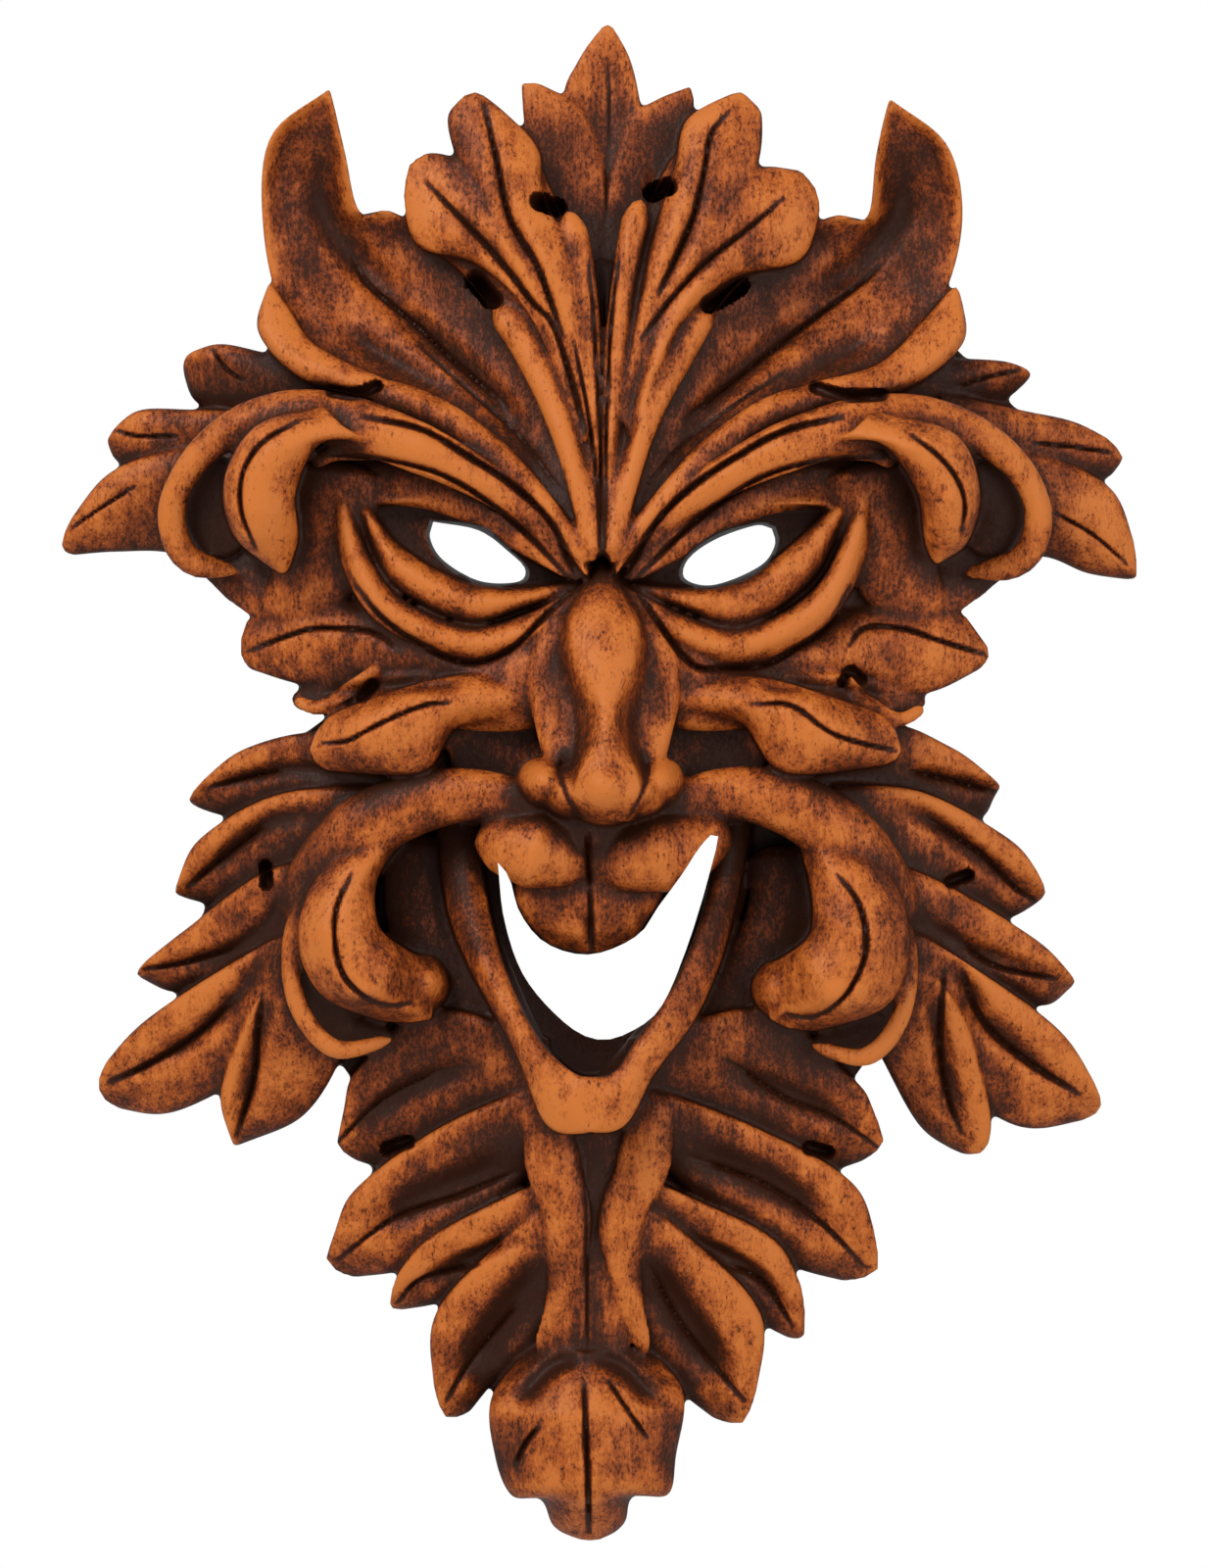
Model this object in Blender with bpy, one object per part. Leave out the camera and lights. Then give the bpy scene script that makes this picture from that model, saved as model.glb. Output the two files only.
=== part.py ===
# Green man plaque: a leaf mask carved from one block of wood, flat behind, hung on a wall.
# Places are read off a squared drawing, right and down from its corner, 1550 squares tall,
# each with its depth off the wall in metres. Front faces -Y, the flat back lies at Y = 0.

import bmesh
import bpy
import math
from mathutils import Matrix, Vector

# Driving sizes in metres
height = 0.500
core_depth = 0.024          # thickness of the ground that all the leaves grow from
leaf_edge = 0.013           # thickness of a leaf at its free edge
vein_width = 0.0032         # half width of a cut vein
vein_depth = 0.0024
eye_opening_draw = 0.004    # how much wider an eye hole is at the front than at the back
viewing_distance = 1.20     # where the drawing was taken from, off the wall

# The squared drawing
squares_tall = 1550
drawing_middle = 617        # the square straight in front of the viewer
drawing_level = 800
mount_across = 612          # the square of the mount point on the flat back
mount_down = 450
middle_depth = 0.045        # the depth at which a square is drawn at its plain size
square = height / squares_tall

# Fineness of the faceted solid
steps_along = 12
steps_across = 10
roll_sides = 12
voxel = 0.0018              # grain of the surface that joins all the strokes
triangles = 9400            # what the faceted solid is thinned to
behind = 0.004              # how far strokes may reach behind the flat back before it is sawn


def place(across, down, depth):
    """A point of the drawing at its depth off the wall, nearer things being drawn larger."""
    size = square * (viewing_distance - depth) / (viewing_distance - middle_depth)
    mount_size = square * viewing_distance / (viewing_distance - middle_depth)
    x = (across - drawing_middle) * size - (mount_across - drawing_middle) * mount_size
    z = (drawing_level - down) * size - (drawing_level - mount_down) * mount_size
    return Vector((x, -depth, z))


def spline(points, count):
    """Evenly spaced values along a smooth curve through the given points."""
    points = [Vector(point) for point in points]
    ends = [points[0] * 2 - points[1]] + points + [points[-1] * 2 - points[-2]]
    fine = []
    for a, b, c, d in zip(ends, ends[1:], ends[2:], ends[3:]):
        for step in range(12):
            t = step / 12
            fine.append(0.5 * (2 * b + (c - a) * t + (2 * a - 5 * b + 4 * c - d) * t ** 2
                               + (3 * b - a - 3 * c + d) * t ** 3))
    fine.append(points[-1])
    run = [0.0]
    for a, b in zip(fine, fine[1:]):
        run.append(run[-1] + (b - a).length)
    values = []
    here = 0
    for step in range(count):
        goal = run[-1] * step / (count - 1)
        while here < len(fine) - 2 and run[here + 1] < goal:
            here += 1
        span = max(run[here + 1] - run[here], 1e-9)
        values.append(fine[here].lerp(fine[here + 1], (goal - run[here]) / span))
    return values


def along(values, t):
    """The value at share t of a list of evenly spaced values."""
    spot = min(max(t, 0.0), 1.0) * (len(values) - 1)
    low = min(int(spot), len(values) - 2)
    return values[low] + (values[low + 1] - values[low]) * (spot - low)


def shell(rings):
    """A closed mesh skinned over rings of points, capped at both ends, facing outwards."""
    bm = bmesh.new()
    loops = [[bm.verts.new(point) for point in ring] for ring in rings]
    sides = len(rings[0])
    for low, high in zip(loops, loops[1:]):
        for side in range(sides):
            after = (side + 1) % sides
            bm.faces.new((low[side], low[after], high[after], high[side]))
    bm.faces.new(reversed(loops[0]))
    bm.faces.new(loops[-1])
    bmesh.ops.triangulate(bm, faces=bm.faces[:])
    bmesh.ops.recalc_face_normals(bm, faces=bm.faces[:])
    if bm.calc_volume(signed=True) < 0:
        bmesh.ops.reverse_faces(bm, faces=bm.faces[:])
    return bm


def leaf(left, vein, right, depth, camber=0.004, thick=None, groove=vein_depth, tilt=0.0):
    """A lobe between two edges that meet at its tip, arched or cupped, with a vein cut along it.

    depth lists the front's depth from base to tip; camber lifts the middle over the edges,
    and tilt raises the first edge as much as it lowers the other."""
    thick = thick or [leaf_edge * 2.2, leaf_edge]
    count = steps_along
    lefts, veins, rights = (spline(points, count) for points in (left, vein, right))
    rings = []
    for step in range(count):
        t = step / (count - 1)
        front = along(depth, t)
        arch = camber * min(1.0, 4 * (1 - t) + 0.15)
        body = along(thick, t)
        ring = []
        for column in range(steps_across + 1):
            s = column / steps_across * 2 - 1
            edge = lefts[step] if s < 0 else rights[step]
            flat = veins[step].lerp(edge, abs(s))
            wide = (edge - veins[step]).length * square
            cut = groove * math.exp(-(abs(s) * wide / vein_width) ** 2) * math.sin(math.pi * min(t + 0.1, 1))
            lean = tilt * s * min(1.0, 3 * t + 0.2)
            ring.append(place(flat.x, flat.y, front + arch * (1 - s * s) - cut - lean))
        for s in (0.8, 0.0, -0.8):
            edge = lefts[step] if s < 0 else rights[step]
            flat = veins[step].lerp(edge, abs(s))
            ring.append(place(flat.x, flat.y, max(0.001, front - body)))
        rings.append(ring)
    return shell(rings)


def roll(points, widths, depths, deep=0.8):
    """A rounded band along a curve: its half width in squares and its front's depth at each point."""
    count = max(steps_along + 2, 2 * len(points))
    path = spline(points, count)
    rings = []
    for step, middle in enumerate(path):
        t = step / (count - 1)
        half = along(widths, t)
        front = along(depths, t)
        ahead = path[min(step + 1, count - 1)] - path[max(step - 1, 0)]
        side = Vector((-ahead.y, ahead.x)).normalized()
        tall = half * square * deep
        ring = []
        for corner in range(roll_sides):
            turn = 2 * math.pi * corner / roll_sides
            flat = middle + side * half * math.sin(turn)
            ring.append(place(flat.x, flat.y, max(0.0012, front - tall + tall * math.cos(turn))))
        rings.append(ring)
    return shell(rings)


def lump(across, down, front, wide, tall, deep):
    """An egg-shaped swelling whose foremost point is at the given depth."""
    bm = bmesh.new()
    bmesh.ops.create_uvsphere(bm, u_segments=10, v_segments=6, radius=1)
    for vert in bm.verts:
        spot = vert.co.copy()
        vert.co = place(across + spot.x * wide, down - spot.z * tall, front - deep - spot.y * deep)
    bmesh.ops.triangulate(bm, faces=bm.faces[:])
    bmesh.ops.recalc_face_normals(bm, faces=bm.faces[:])
    return bm


def plate(outline, front, back, draw=0.0):
    """A flat plate over an outline; draw widens its front edge all round."""
    middle = sum((Vector(point) for point in outline), Vector((0, 0))) / len(outline)
    rings = []
    for depth, widen in ((back, 0.0), (front, draw / square)):
        ring = []
        for point in outline:
            outwards = (Vector(point) - middle).normalized() * widen
            ring.append(place(point[0] + outwards.x, point[1] + outwards.y, depth))
        rings.append(ring)
    return shell(rings)


def ridge(sections, middle, lean, foot):
    """A long ridge from top to bottom; each section gives its height, front, half top and half foot."""
    rings = []
    for down, front, top, wide in sections:
        across = middle + (down - sections[0][0]) * lean
        profile = [(-wide, foot), (-top, front - 0.003), (-top * 0.4, front), (top * 0.4, front),
                   (top, front - 0.003), (wide, foot), (wide * 0.8, core_depth / 2), (-wide * 0.8, core_depth / 2)]
        rings.append([place(across + side, down, depth) for side, depth in profile])
    return shell(rings)


def crown():
    """Crown: the dark middle leaf, and the two bright side leaves of two lobes each."""
    low = [0.026, 0.036, 0.040]
    high = [0.066, 0.062, 0.056]
    yield leaf([(600, 560), (576, 420), (564, 290), (572, 180), (575, 98), (588, 66), (610, 30)],
               [(614, 560), (616, 420), (619, 290), (620, 180), (620, 110), (620, 66), (621, 25)],
               [(628, 560), (658, 420), (672, 290), (668, 180), (655, 112), (645, 66), (630, 32)],
               [0.068, 0.060, 0.050, 0.042, 0.038, 0.040], -0.003, [0.05, 0.014])
    yield leaf([(600, 280), (560, 190), (538, 140), (532, 88)], [(610, 250), (575, 170), (550, 115), (533, 85)],
               [(620, 200), (600, 120), (556, 88), (534, 85)], low, -0.002, [0.035, 0.014])
    yield leaf([(620, 200), (640, 125), (668, 103), (702, 89)], [(630, 250), (665, 160), (690, 110), (704, 89)],
               [(640, 270), (675, 190), (706, 116), (706, 90)], low, -0.002, [0.035, 0.014])
    fan = [0.072, 0.066, 0.061, 0.057, 0.052]
    yield leaf([(598, 560), (566, 440), (520, 345), (478, 285), (436, 250)],
               [(606, 560), (590, 420), (560, 310), (525, 240), (490, 180)],
               [(613, 560), (610, 400), (600, 300), (574, 222), (540, 145)], fan, 0.002, [0.05, 0.02])
    yield leaf([(617, 560), (622, 400), (632, 300), (656, 222), (694, 145)],
               [(625, 560), (645, 420), (680, 310), (715, 240), (745, 180)],
               [(634, 560), (668, 440), (710, 350), (752, 290), (800, 262)], fan, 0.002, [0.05, 0.02])
    yield leaf([(585, 430), (535, 290), (478, 190), (457, 128), (466, 100)],
               [(592, 430), (549, 272), (520, 222), (506, 159), (485, 94)],
               [(606, 430), (590, 280), (555, 200), (548, 150), (500, 100)], high, 0.004, [0.045, 0.02])
    yield leaf([(590, 450), (545, 330), (490, 272), (429, 252), (411, 212)],
               [(598, 450), (567, 337), (507, 261), (450, 205), (414, 184)],
               [(604, 420), (560, 240), (506, 180), (455, 158), (421, 157)], high, 0.004, [0.045, 0.02])
    yield leaf([(632, 430), (662, 260), (688, 175), (700, 124), (740, 97)],
               [(645, 430), (689, 264), (718, 178), (735, 126), (756, 94)],
               [(655, 430), (710, 290), (768, 185), (778, 122), (766, 100)], high, 0.004, [0.045, 0.02])
    yield leaf([(636, 410), (690, 240), (760, 176), (810, 173), (829, 182)],
               [(640, 440), (686, 303), (767, 230), (815, 190), (836, 205)],
               [(648, 450), (690, 340), (746, 285), (815, 266), (837, 222)], high, 0.004, [0.045, 0.02])
    rib = [0.062, 0.064, 0.066, 0.069, 0.073]
    yield roll([(579, 214), (592, 262), (602, 335), (609, 440), (613, 570)], [15, 12, 10, 9, 9], rib)
    yield roll([(654, 202), (642, 255), (630, 335), (622, 440), (618, 570)], [15, 12, 10, 9, 9], rib)
    fold = [0.060, 0.064, 0.069, 0.072, 0.073]
    pleat = [0.050, 0.058, 0.065, 0.070]
    yield roll([(470, 385), (540, 445), (584, 510), (606, 575)], [34, 34, 24, 10], pleat, 0.5)
    yield roll([(760, 385), (690, 445), (648, 510), (622, 575)], [34, 34, 24, 10], pleat, 0.5)
    yield roll([(507, 308), (538, 356), (568, 420), (590, 490), (607, 575)], [17, 16, 14, 12, 9], fold)
    yield roll([(722, 308), (695, 358), (663, 420), (640, 490), (622, 575)], [17, 16, 14, 12, 9], fold)


def horns():
    """Horns: long scooped leaves from the brow to the horn tips, each with a rolled lower rim."""
    front = [0.072, 0.068, 0.061, 0.050, 0.043, 0.047, 0.058]
    yield leaf([(600, 590), (510, 475), (425, 418), (345, 382), (288, 315), (268, 225), (276, 140), (333, 92)],
               [(603, 565), (530, 430), (440, 345), (376, 285), (325, 210), (315, 150), (336, 92)],
               [(608, 540), (570, 390), (500, 290), (405, 218), (368, 218), (352, 155), (338, 94)],
               front, -0.007, [0.055, 0.018])
    yield leaf([(618, 540), (660, 390), (735, 285), (845, 222), (884, 224), (894, 160), (906, 103)],
               [(622, 565), (700, 430), (800, 345), (877, 285), (920, 220), (925, 160), (909, 102)],
               [(626, 590), (715, 475), (815, 420), (890, 385), (955, 318), (982, 230), (968, 150), (912, 103)],
               front, -0.007, [0.055, 0.018])
    rim = [0.058, 0.060, 0.056, 0.050]
    yield leaf([(430, 430), (380, 408), (310, 388), (264, 340), (272, 292)],
               [(432, 415), (380, 398), (300, 366), (270, 330), (276, 290)],
               [(440, 400), (392, 386), (322, 352), (296, 316), (279, 293)], rim, 0.003, [0.04, 0.02])
    yield leaf([(800, 415), (822, 393), (895, 372), (940, 330), (969, 296)],
               [(805, 425), (830, 406), (905, 392), (975, 345), (976, 293)],
               [(810, 440), (840, 420), (920, 400), (982, 352), (982, 302)], rim, 0.003, [0.04, 0.02])
    pipe = [0.062, 0.066, 0.070, 0.072]
    yield roll([(375, 398), (440, 420), (500, 460), (555, 515), (600, 575)], [17, 17, 16, 12, 8], pipe)
    yield roll([(842, 408), (790, 420), (730, 460), (675, 515), (624, 575)], [17, 17, 16, 12, 8], pipe)


def volutes():
    """Volutes: the brow bands that curl down at the temples, each round a hanging tongue."""
    front = [0.066, 0.068, 0.074, 0.078, 0.076, 0.070, 0.064, 0.060, 0.056, 0.050]
    yield roll([(598, 582), (545, 528), (478, 482), (400, 446), (322, 424), (250, 432), (199, 470), (175, 522),
                (192, 570), (246, 584)], [9, 15, 20, 26, 28, 26, 18, 14, 15, 12], front)
    yield roll([(628, 582), (684, 524), (755, 478), (830, 446), (908, 428), (984, 438), (1038, 476), (1060, 526),
                (1042, 572), (982, 586)], [9, 15, 20, 26, 28, 26, 18, 14, 15, 12], front)
    cheek = [0.060, 0.057, 0.053, 0.047]
    yield roll([(348, 470), (338, 540), (312, 600), (284, 640)], [40, 46, 44, 26], cheek, 0.35)
    yield roll([(884, 470), (896, 540), (924, 600), (952, 636)], [40, 46, 44, 26], cheek, 0.35)
    pit = [0.052, 0.048, 0.046]
    yield roll([(240, 470), (214, 520), (232, 570)], [26, 28, 20], pit, 0.3)
    yield roll([(995, 470), (1020, 520), (1004, 570)], [26, 28, 20], pit, 0.3)
    tongue = [0.074, 0.079, 0.077, 0.068]
    yield leaf([(330, 415), (262, 434), (229, 488), (238, 545), (282, 584)],
               [(350, 435), (288, 456), (262, 500), (262, 545), (288, 585)],
               [(380, 452), (328, 452), (302, 500), (304, 548), (294, 584)], tongue, 0.006, [0.045, 0.03])
    yield leaf([(850, 450), (900, 453), (935, 500), (944, 552), (952, 574)],
               [(870, 440), (940, 462), (966, 500), (970, 545), (957, 575)],
               [(890, 420), (974, 442), (1000, 500), (988, 552), (962, 573)], tongue, 0.006, [0.045, 0.03])
    curl = [0.066, 0.070, 0.072]
    yield roll([(318, 474), (345, 462), (395, 462)], [7, 9, 8], curl)
    yield roll([(914, 474), (885, 462), (838, 462)], [7, 9, 8], curl)


def temples():
    """Temples: three lobes at each side, low behind the volutes."""
    front = [0.034, 0.030, 0.026]
    body = [0.03, 0.016]
    for left, vein, right in (
            ([(330, 370), (276, 361), (226, 351), (192, 360)], [(330, 410), (250, 389), (217, 372), (188, 368)],
             [(310, 450), (240, 425), (200, 410), (186, 378)]),
            ([(270, 420), (198, 418), (145, 418), (118, 434)], [(270, 450), (190, 447), (143, 445), (110, 448)],
             [(250, 500), (180, 490), (125, 474), (110, 456)]),
            ([(250, 450), (170, 460), (110, 484), (68, 535)], [(240, 490), (160, 500), (100, 522), (63, 556)],
             [(240, 600), (180, 566), (120, 563), (68, 567)]),
            ([(890, 370), (960, 366), (1020, 368), (1049, 376)], [(890, 410), (970, 392), (1020, 386), (1052, 382)],
             [(900, 450), (980, 425), (1025, 408), (1050, 388)]),
            ([(960, 400), (1040, 418), (1095, 430), (1136, 450)], [(960, 450), (1050, 452), (1100, 456), (1146, 467)],
             [(990, 520), (1080, 500), (1126, 489), (1141, 478)]),
            ([(1000, 450), (1080, 470), (1136, 501), (1160, 560)], [(1000, 520), (1070, 525), (1120, 550), (1160, 588)],
             [(1000, 590), (1060, 568), (1110, 585), (1156, 592)])):
        yield leaf(left, vein, right, front, 0.004, body, tilt=0.003)


def eyes():
    """Eyes: sockets, upper lids, lower lids and the bags below them."""
    lid = [0.054, 0.060, 0.062, 0.060]
    bag = [0.052, 0.060, 0.062, 0.064]
    brow = [0.050, 0.058, 0.063, 0.066, 0.066]
    yield roll([(340, 492), (420, 490), (490, 515), (548, 556), (596, 592)], [30, 28, 24, 18, 8], brow, 0.5)
    yield roll([(890, 500), (820, 492), (745, 515), (686, 556), (636, 592)], [30, 28, 24, 18, 8], brow, 0.5)
    yield leaf([(358, 480), (400, 476), (470, 500), (530, 545), (590, 590)],
               [(350, 500), (400, 490), (470, 512), (520, 555), (590, 592)],
               [(350, 520), (400, 514), (462, 518), (515, 556), (590, 596)], lid, -0.002, [0.052, 0.058], 0)
    yield leaf([(700, 556), (740, 536), (790, 516), (860, 520), (880, 540)][::-1],
               [(690, 560), (735, 525), (790, 500), (850, 500), (890, 520)][::-1],
               [(632, 590), (700, 540), (760, 500), (830, 476), (880, 480)][::-1], lid, -0.002, [0.052, 0.058], 0)
    yield leaf([(375, 515), (410, 558), (470, 592), (530, 600), (585, 594)],
               [(372, 520), (405, 575), (470, 612), (530, 612), (585, 597)],
               [(366, 525), (400, 595), (475, 634), (535, 620), (588, 600)], lid, 0.005, [0.045, 0.05], 0)
    yield leaf([(855, 510), (812, 552), (760, 591), (700, 600), (645, 594)],
               [(858, 520), (818, 570), (760, 612), (702, 612), (645, 597)],
               [(864, 525), (828, 592), (757, 638), (695, 620), (642, 600)], lid, 0.005, [0.045, 0.05], 0)
    yield leaf([(362, 515), (398, 600), (475, 638), (540, 624), (592, 598)],
               [(360, 530), (390, 618), (475, 655), (545, 640), (594, 600)],
               [(356, 545), (385, 632), (474, 672), (552, 650), (597, 604)], bag, 0.005, [0.045, 0.055], 0)
    yield leaf([(866, 515), (830, 600), (757, 640), (692, 624), (640, 598)],
               [(870, 530), (838, 618), (757, 658), (684, 640), (638, 600)],
               [(876, 545), (842, 636), (757, 678), (680, 650), (634, 604)], bag, 0.005, [0.045, 0.055], 0)


def nose():
    """Nose: a ridge that is wide at the bridge and narrow at the waist, a round tip and two wings."""
    yield ridge([(570, 0.064, 5, 14), (600, 0.072, 22, 38), (640, 0.080, 37, 56), (680, 0.084, 27, 66),
                 (720, 0.087, 12, 66), (755, 0.091, 18, 66), (790, 0.096, 37, 62), (815, 0.096, 37, 54),
                 (838, 0.088, 24, 38)], 614, 0.03, 0.054)
    yield lump(617, 800, 0.098, 42, 42, 0.030)
    yield lump(614, 802, 0.085, 70, 34, 0.030)
    yield roll([(590, 772), (556, 782), (543, 800), (555, 818), (588, 826)], [14, 18, 19, 16, 12],
               [0.080, 0.080, 0.079, 0.079, 0.080])
    yield roll([(640, 772), (672, 782), (684, 800), (672, 818), (640, 826)], [14, 18, 19, 16, 12],
               [0.080, 0.080, 0.079, 0.079, 0.080])
    side = [0.068, 0.069, 0.071, 0.072]
    yield roll([(592, 630), (556, 685), (562, 738), (576, 785)], [34, 48, 44, 34], side)
    yield roll([(638, 630), (680, 685), (672, 738), (656, 785)], [34, 48, 44, 34], side)


def cheeks():
    """Cheeks: the upper leaf below each eye, its curled lobe, and the bright round lower lobe."""
    upper = [0.058, 0.054, 0.046, 0.042]
    lower = [0.058, 0.064, 0.068, 0.062]
    rim = [0.050, 0.054, 0.056, 0.058]
    yield roll([(300, 714), (326, 722), (356, 704), (388, 680)], [6, 8, 8, 6], rim)
    yield roll([(944, 722), (915, 734), (880, 712), (858, 686)], [6, 8, 8, 6], rim)
    yield leaf([(520, 660), (400, 625), (320, 605), (256, 622)], [(500, 680), (408, 664), (346, 641), (246, 652)],
               [(480, 700), (400, 690), (320, 700), (246, 680)], upper, 0.005, [0.05, 0.022])
    yield leaf([(440, 680), (380, 684), (330, 694), (300, 706)], [(440, 700), (390, 705), (340, 712), (298, 714)],
               [(440, 740), (390, 730), (345, 730), (302, 724)], upper, 0.004, [0.05, 0.022])
    yield leaf([(560, 690), (460, 690), (360, 720), (325, 738)], [(560, 710), (459, 717), (379, 743), (316, 765)],
               [(560, 740), (470, 740), (430, 788), (325, 786)], lower, 0.007, [0.05, 0.035])
    yield leaf([(700, 660), (830, 630), (930, 605), (972, 610)], [(720, 680), (866, 661), (928, 643), (1008, 660)],
               [(740, 700), (860, 690), (940, 708), (1010, 678)], upper, 0.005, [0.05, 0.022])
    yield leaf([(800, 680), (870, 684), (920, 695), (948, 714)], [(800, 700), (860, 705), (900, 718), (940, 724)],
               [(800, 740), (850, 730), (900, 738), (932, 732)], upper, 0.004, [0.05, 0.022])
    yield leaf([(670, 690), (770, 690), (860, 715), (912, 734)], [(670, 710), (770, 719), (858, 752), (920, 766)],
               [(670, 740), (752, 735), (800, 788), (912, 780)], lower, 0.007, [0.05, 0.035])
    plane = [0.066, 0.063, 0.057, 0.042]
    yield roll([(580, 655), (520, 702), (430, 700), (330, 670)], [46, 42, 36, 26], plane)
    yield roll([(650, 655), (716, 702), (806, 700), (900, 670)], [46, 42, 36, 26], plane)
    hollow_left = [(450, 735), (590, 735), (600, 800), (560, 815), (465, 805)]
    hollow_right = [(646, 735), (790, 735), (775, 805), (690, 815), (640, 800)]
    for outline in (hollow_left, hollow_right):
        yield plate(outline, 0.052, 0.01)


def moustache():
    """Moustache: bands from the nose wings that curl round the mouth corners into big round lobes."""
    front = [0.070, 0.067, 0.064, 0.062, 0.058, 0.052]
    yield roll([(566, 830), (500, 812), (430, 818), (366, 850), (322, 905), (306, 960)], [18, 25, 32, 36, 34, 26],
               front)
    yield roll([(664, 830), (732, 810), (800, 818), (862, 856), (902, 910), (920, 965)], [18, 25, 32, 36, 34, 26],
               front)
    lobe = [0.060, 0.060, 0.066, 0.066, 0.054]
    yield leaf([(410, 835), (335, 878), (304, 950), (328, 1015), (400, 1046)],
               [(412, 845), (362, 895), (346, 955), (376, 1008), (440, 1040)],
               [(416, 852), (386, 895), (387, 945), (420, 972), (462, 990)], lobe, 0.009, [0.045, 0.035])
    yield leaf([(810, 845), (826, 900), (828, 950), (800, 976), (760, 990)],
               [(815, 840), (866, 900), (882, 960), (850, 1016), (786, 1040)],
               [(820, 832), (900, 882), (928, 955), (906, 1025), (820, 1056)], lobe, 0.009, [0.045, 0.035])
    edge = [0.056, 0.056, 0.058, 0.058, 0.052]
    yield roll([(318, 905), (298, 960), (304, 1025), (342, 1070), (402, 1060)], [10, 10, 10, 10, 6], edge)
    yield roll([(900, 905), (926, 965), (920, 1035), (884, 1078), (826, 1066)], [10, 10, 10, 10, 6], edge)
    under = [0.046, 0.044, 0.042]
    yield roll([(310, 960), (325, 1040), (400, 1066)], [20, 22, 16], under, 0.4)
    yield roll([(920, 960), (905, 1045), (830, 1072)], [20, 22, 16], under, 0.4)


def side_leaves():
    """Side leaves: five long lobes fanning from each moustache band."""
    front = [0.050, 0.044, 0.036, 0.030]
    body = [0.044, 0.018]
    for left, vein, right in (
            ([(420, 770), (330, 747), (250, 764), (200, 802)], [(420, 810), (290, 790), (215, 803), (193, 816)],
             [(400, 850), (300, 850), (226, 832), (196, 822)]),
            ([(380, 800), (280, 812), (205, 855), (180, 900)], [(380, 850), (271, 845), (205, 890), (179, 911)],
             [(350, 920), (270, 920), (216, 922), (184, 915)]),
            ([(350, 870), (270, 890), (190, 948), (143, 985)], [(340, 920), (244, 966), (175, 985), (140, 994)],
             [(330, 990), (250, 990), (184, 1012), (146, 1000)]),
            ([(340, 930), (250, 975), (150, 1040), (101, 1092)], [(340, 970), (239, 1018), (150, 1087), (101, 1112)],
             [(345, 1020), (280, 1080), (180, 1134), (112, 1130)]),
            ([(310, 960), (262, 1020), (226, 1110), (236, 1166)], [(330, 980), (280, 1040), (256, 1110), (240, 1169)],
             [(370, 1000), (350, 1075), (310, 1138), (246, 1168)]),
            ([(800, 770), (900, 738), (970, 762), (1017, 796)], [(800, 810), (920, 786), (980, 797), (1021, 803)],
             [(820, 850), (910, 850), (995, 838), (1017, 810)]),
            ([(850, 800), (940, 808), (1030, 856), (1064, 896)], [(850, 850), (948, 836), (1020, 886), (1067, 911)],
             [(880, 920), (950, 930), (1022, 938), (1062, 920)]),
            ([(880, 870), (960, 900), (1055, 957), (1094, 994)], [(880, 920), (975, 962), (1040, 992), (1097, 1002)],
             [(890, 990), (980, 1000), (1060, 1026), (1092, 1010)]),
            ([(900, 930), (990, 985), (1080, 1050), (1122, 1112)], [(890, 970), (985, 1000), (1060, 1090), (1124, 1128)],
             [(885, 1020), (940, 1080), (1035, 1148), (1115, 1142)]),
            ([(920, 960), (980, 1030), (1010, 1130), (1008, 1176)], [(900, 980), (960, 1050), (978, 1120), (990, 1178)],
             [(860, 1000), (900, 1080), (938, 1148), (978, 1177)])):
        yield leaf(left, vein, right, front, 0.003, body, tilt=0.005)


def mouth():
    """Mouth: the lower jaw, a V-shaped frame, and the lips with the carved teeth between them."""
    front = [0.040, 0.048, 0.058, 0.068, 0.072]
    yield leaf([(445, 840), (456, 925), (478, 985), (527, 1076), (560, 1150), (604, 1156)],
               [(470, 840), (480, 930), (500, 1000), (545, 1080), (576, 1125), (604, 1128)],
               [(488, 840), (500, 930), (520, 1000), (552, 1062), (588, 1096), (604, 1097)], front, 0.004, [0.035, 0.06], 0)
    yield leaf([(600, 1156), (636, 1150), (668, 1096), (712, 1035), (742, 960), (768, 840)],
               [(600, 1128), (630, 1122), (655, 1080), (695, 1010), (724, 940), (750, 840)],
               [(600, 1098), (624, 1096), (650, 1060), (684, 1010), (714, 940), (736, 840)], front[::-1], 0.004,
               [0.06, 0.035], 0)
    yield roll([(462, 840), (478, 930), (504, 1010), (545, 1090), (596, 1130), (650, 1090), (706, 1010), (736, 930),
                (762, 850)], [18, 22, 26, 26, 24, 26, 26, 22, 18], [0.030, 0.040, 0.045, 0.045, 0.040, 0.030], 1.0)
    corner = [0.034, 0.036, 0.038]
    yield roll([(425, 850), (420, 910), (440, 975)], [34, 36, 30], corner, 0.3)
    yield roll([(800, 860), (806, 915), (786, 980)], [34, 36, 30], corner, 0.3)
    lip = [0.066, 0.074, 0.078, 0.074, 0.066]
    yield roll([(494, 838), (520, 860), (556, 872), (588, 876), (606, 868)], [20, 34, 38, 30, 18], lip)
    yield roll([(742, 838), (705, 862), (660, 874), (622, 878), (600, 868)], [20, 34, 40, 32, 18], lip)
    yield roll([(560, 826), (600, 846), (650, 826)], [22, 26, 22], [0.068, 0.072, 0.068])
    yield leaf([(548, 870), (526, 900), (534, 935), (562, 966)], [(600, 870), (602, 905), (602, 945), (603, 974)],
               [(660, 870), (678, 905), (656, 945), (640, 968)], [0.058, 0.060, 0.056], 0.007, [0.045, 0.03])


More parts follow.
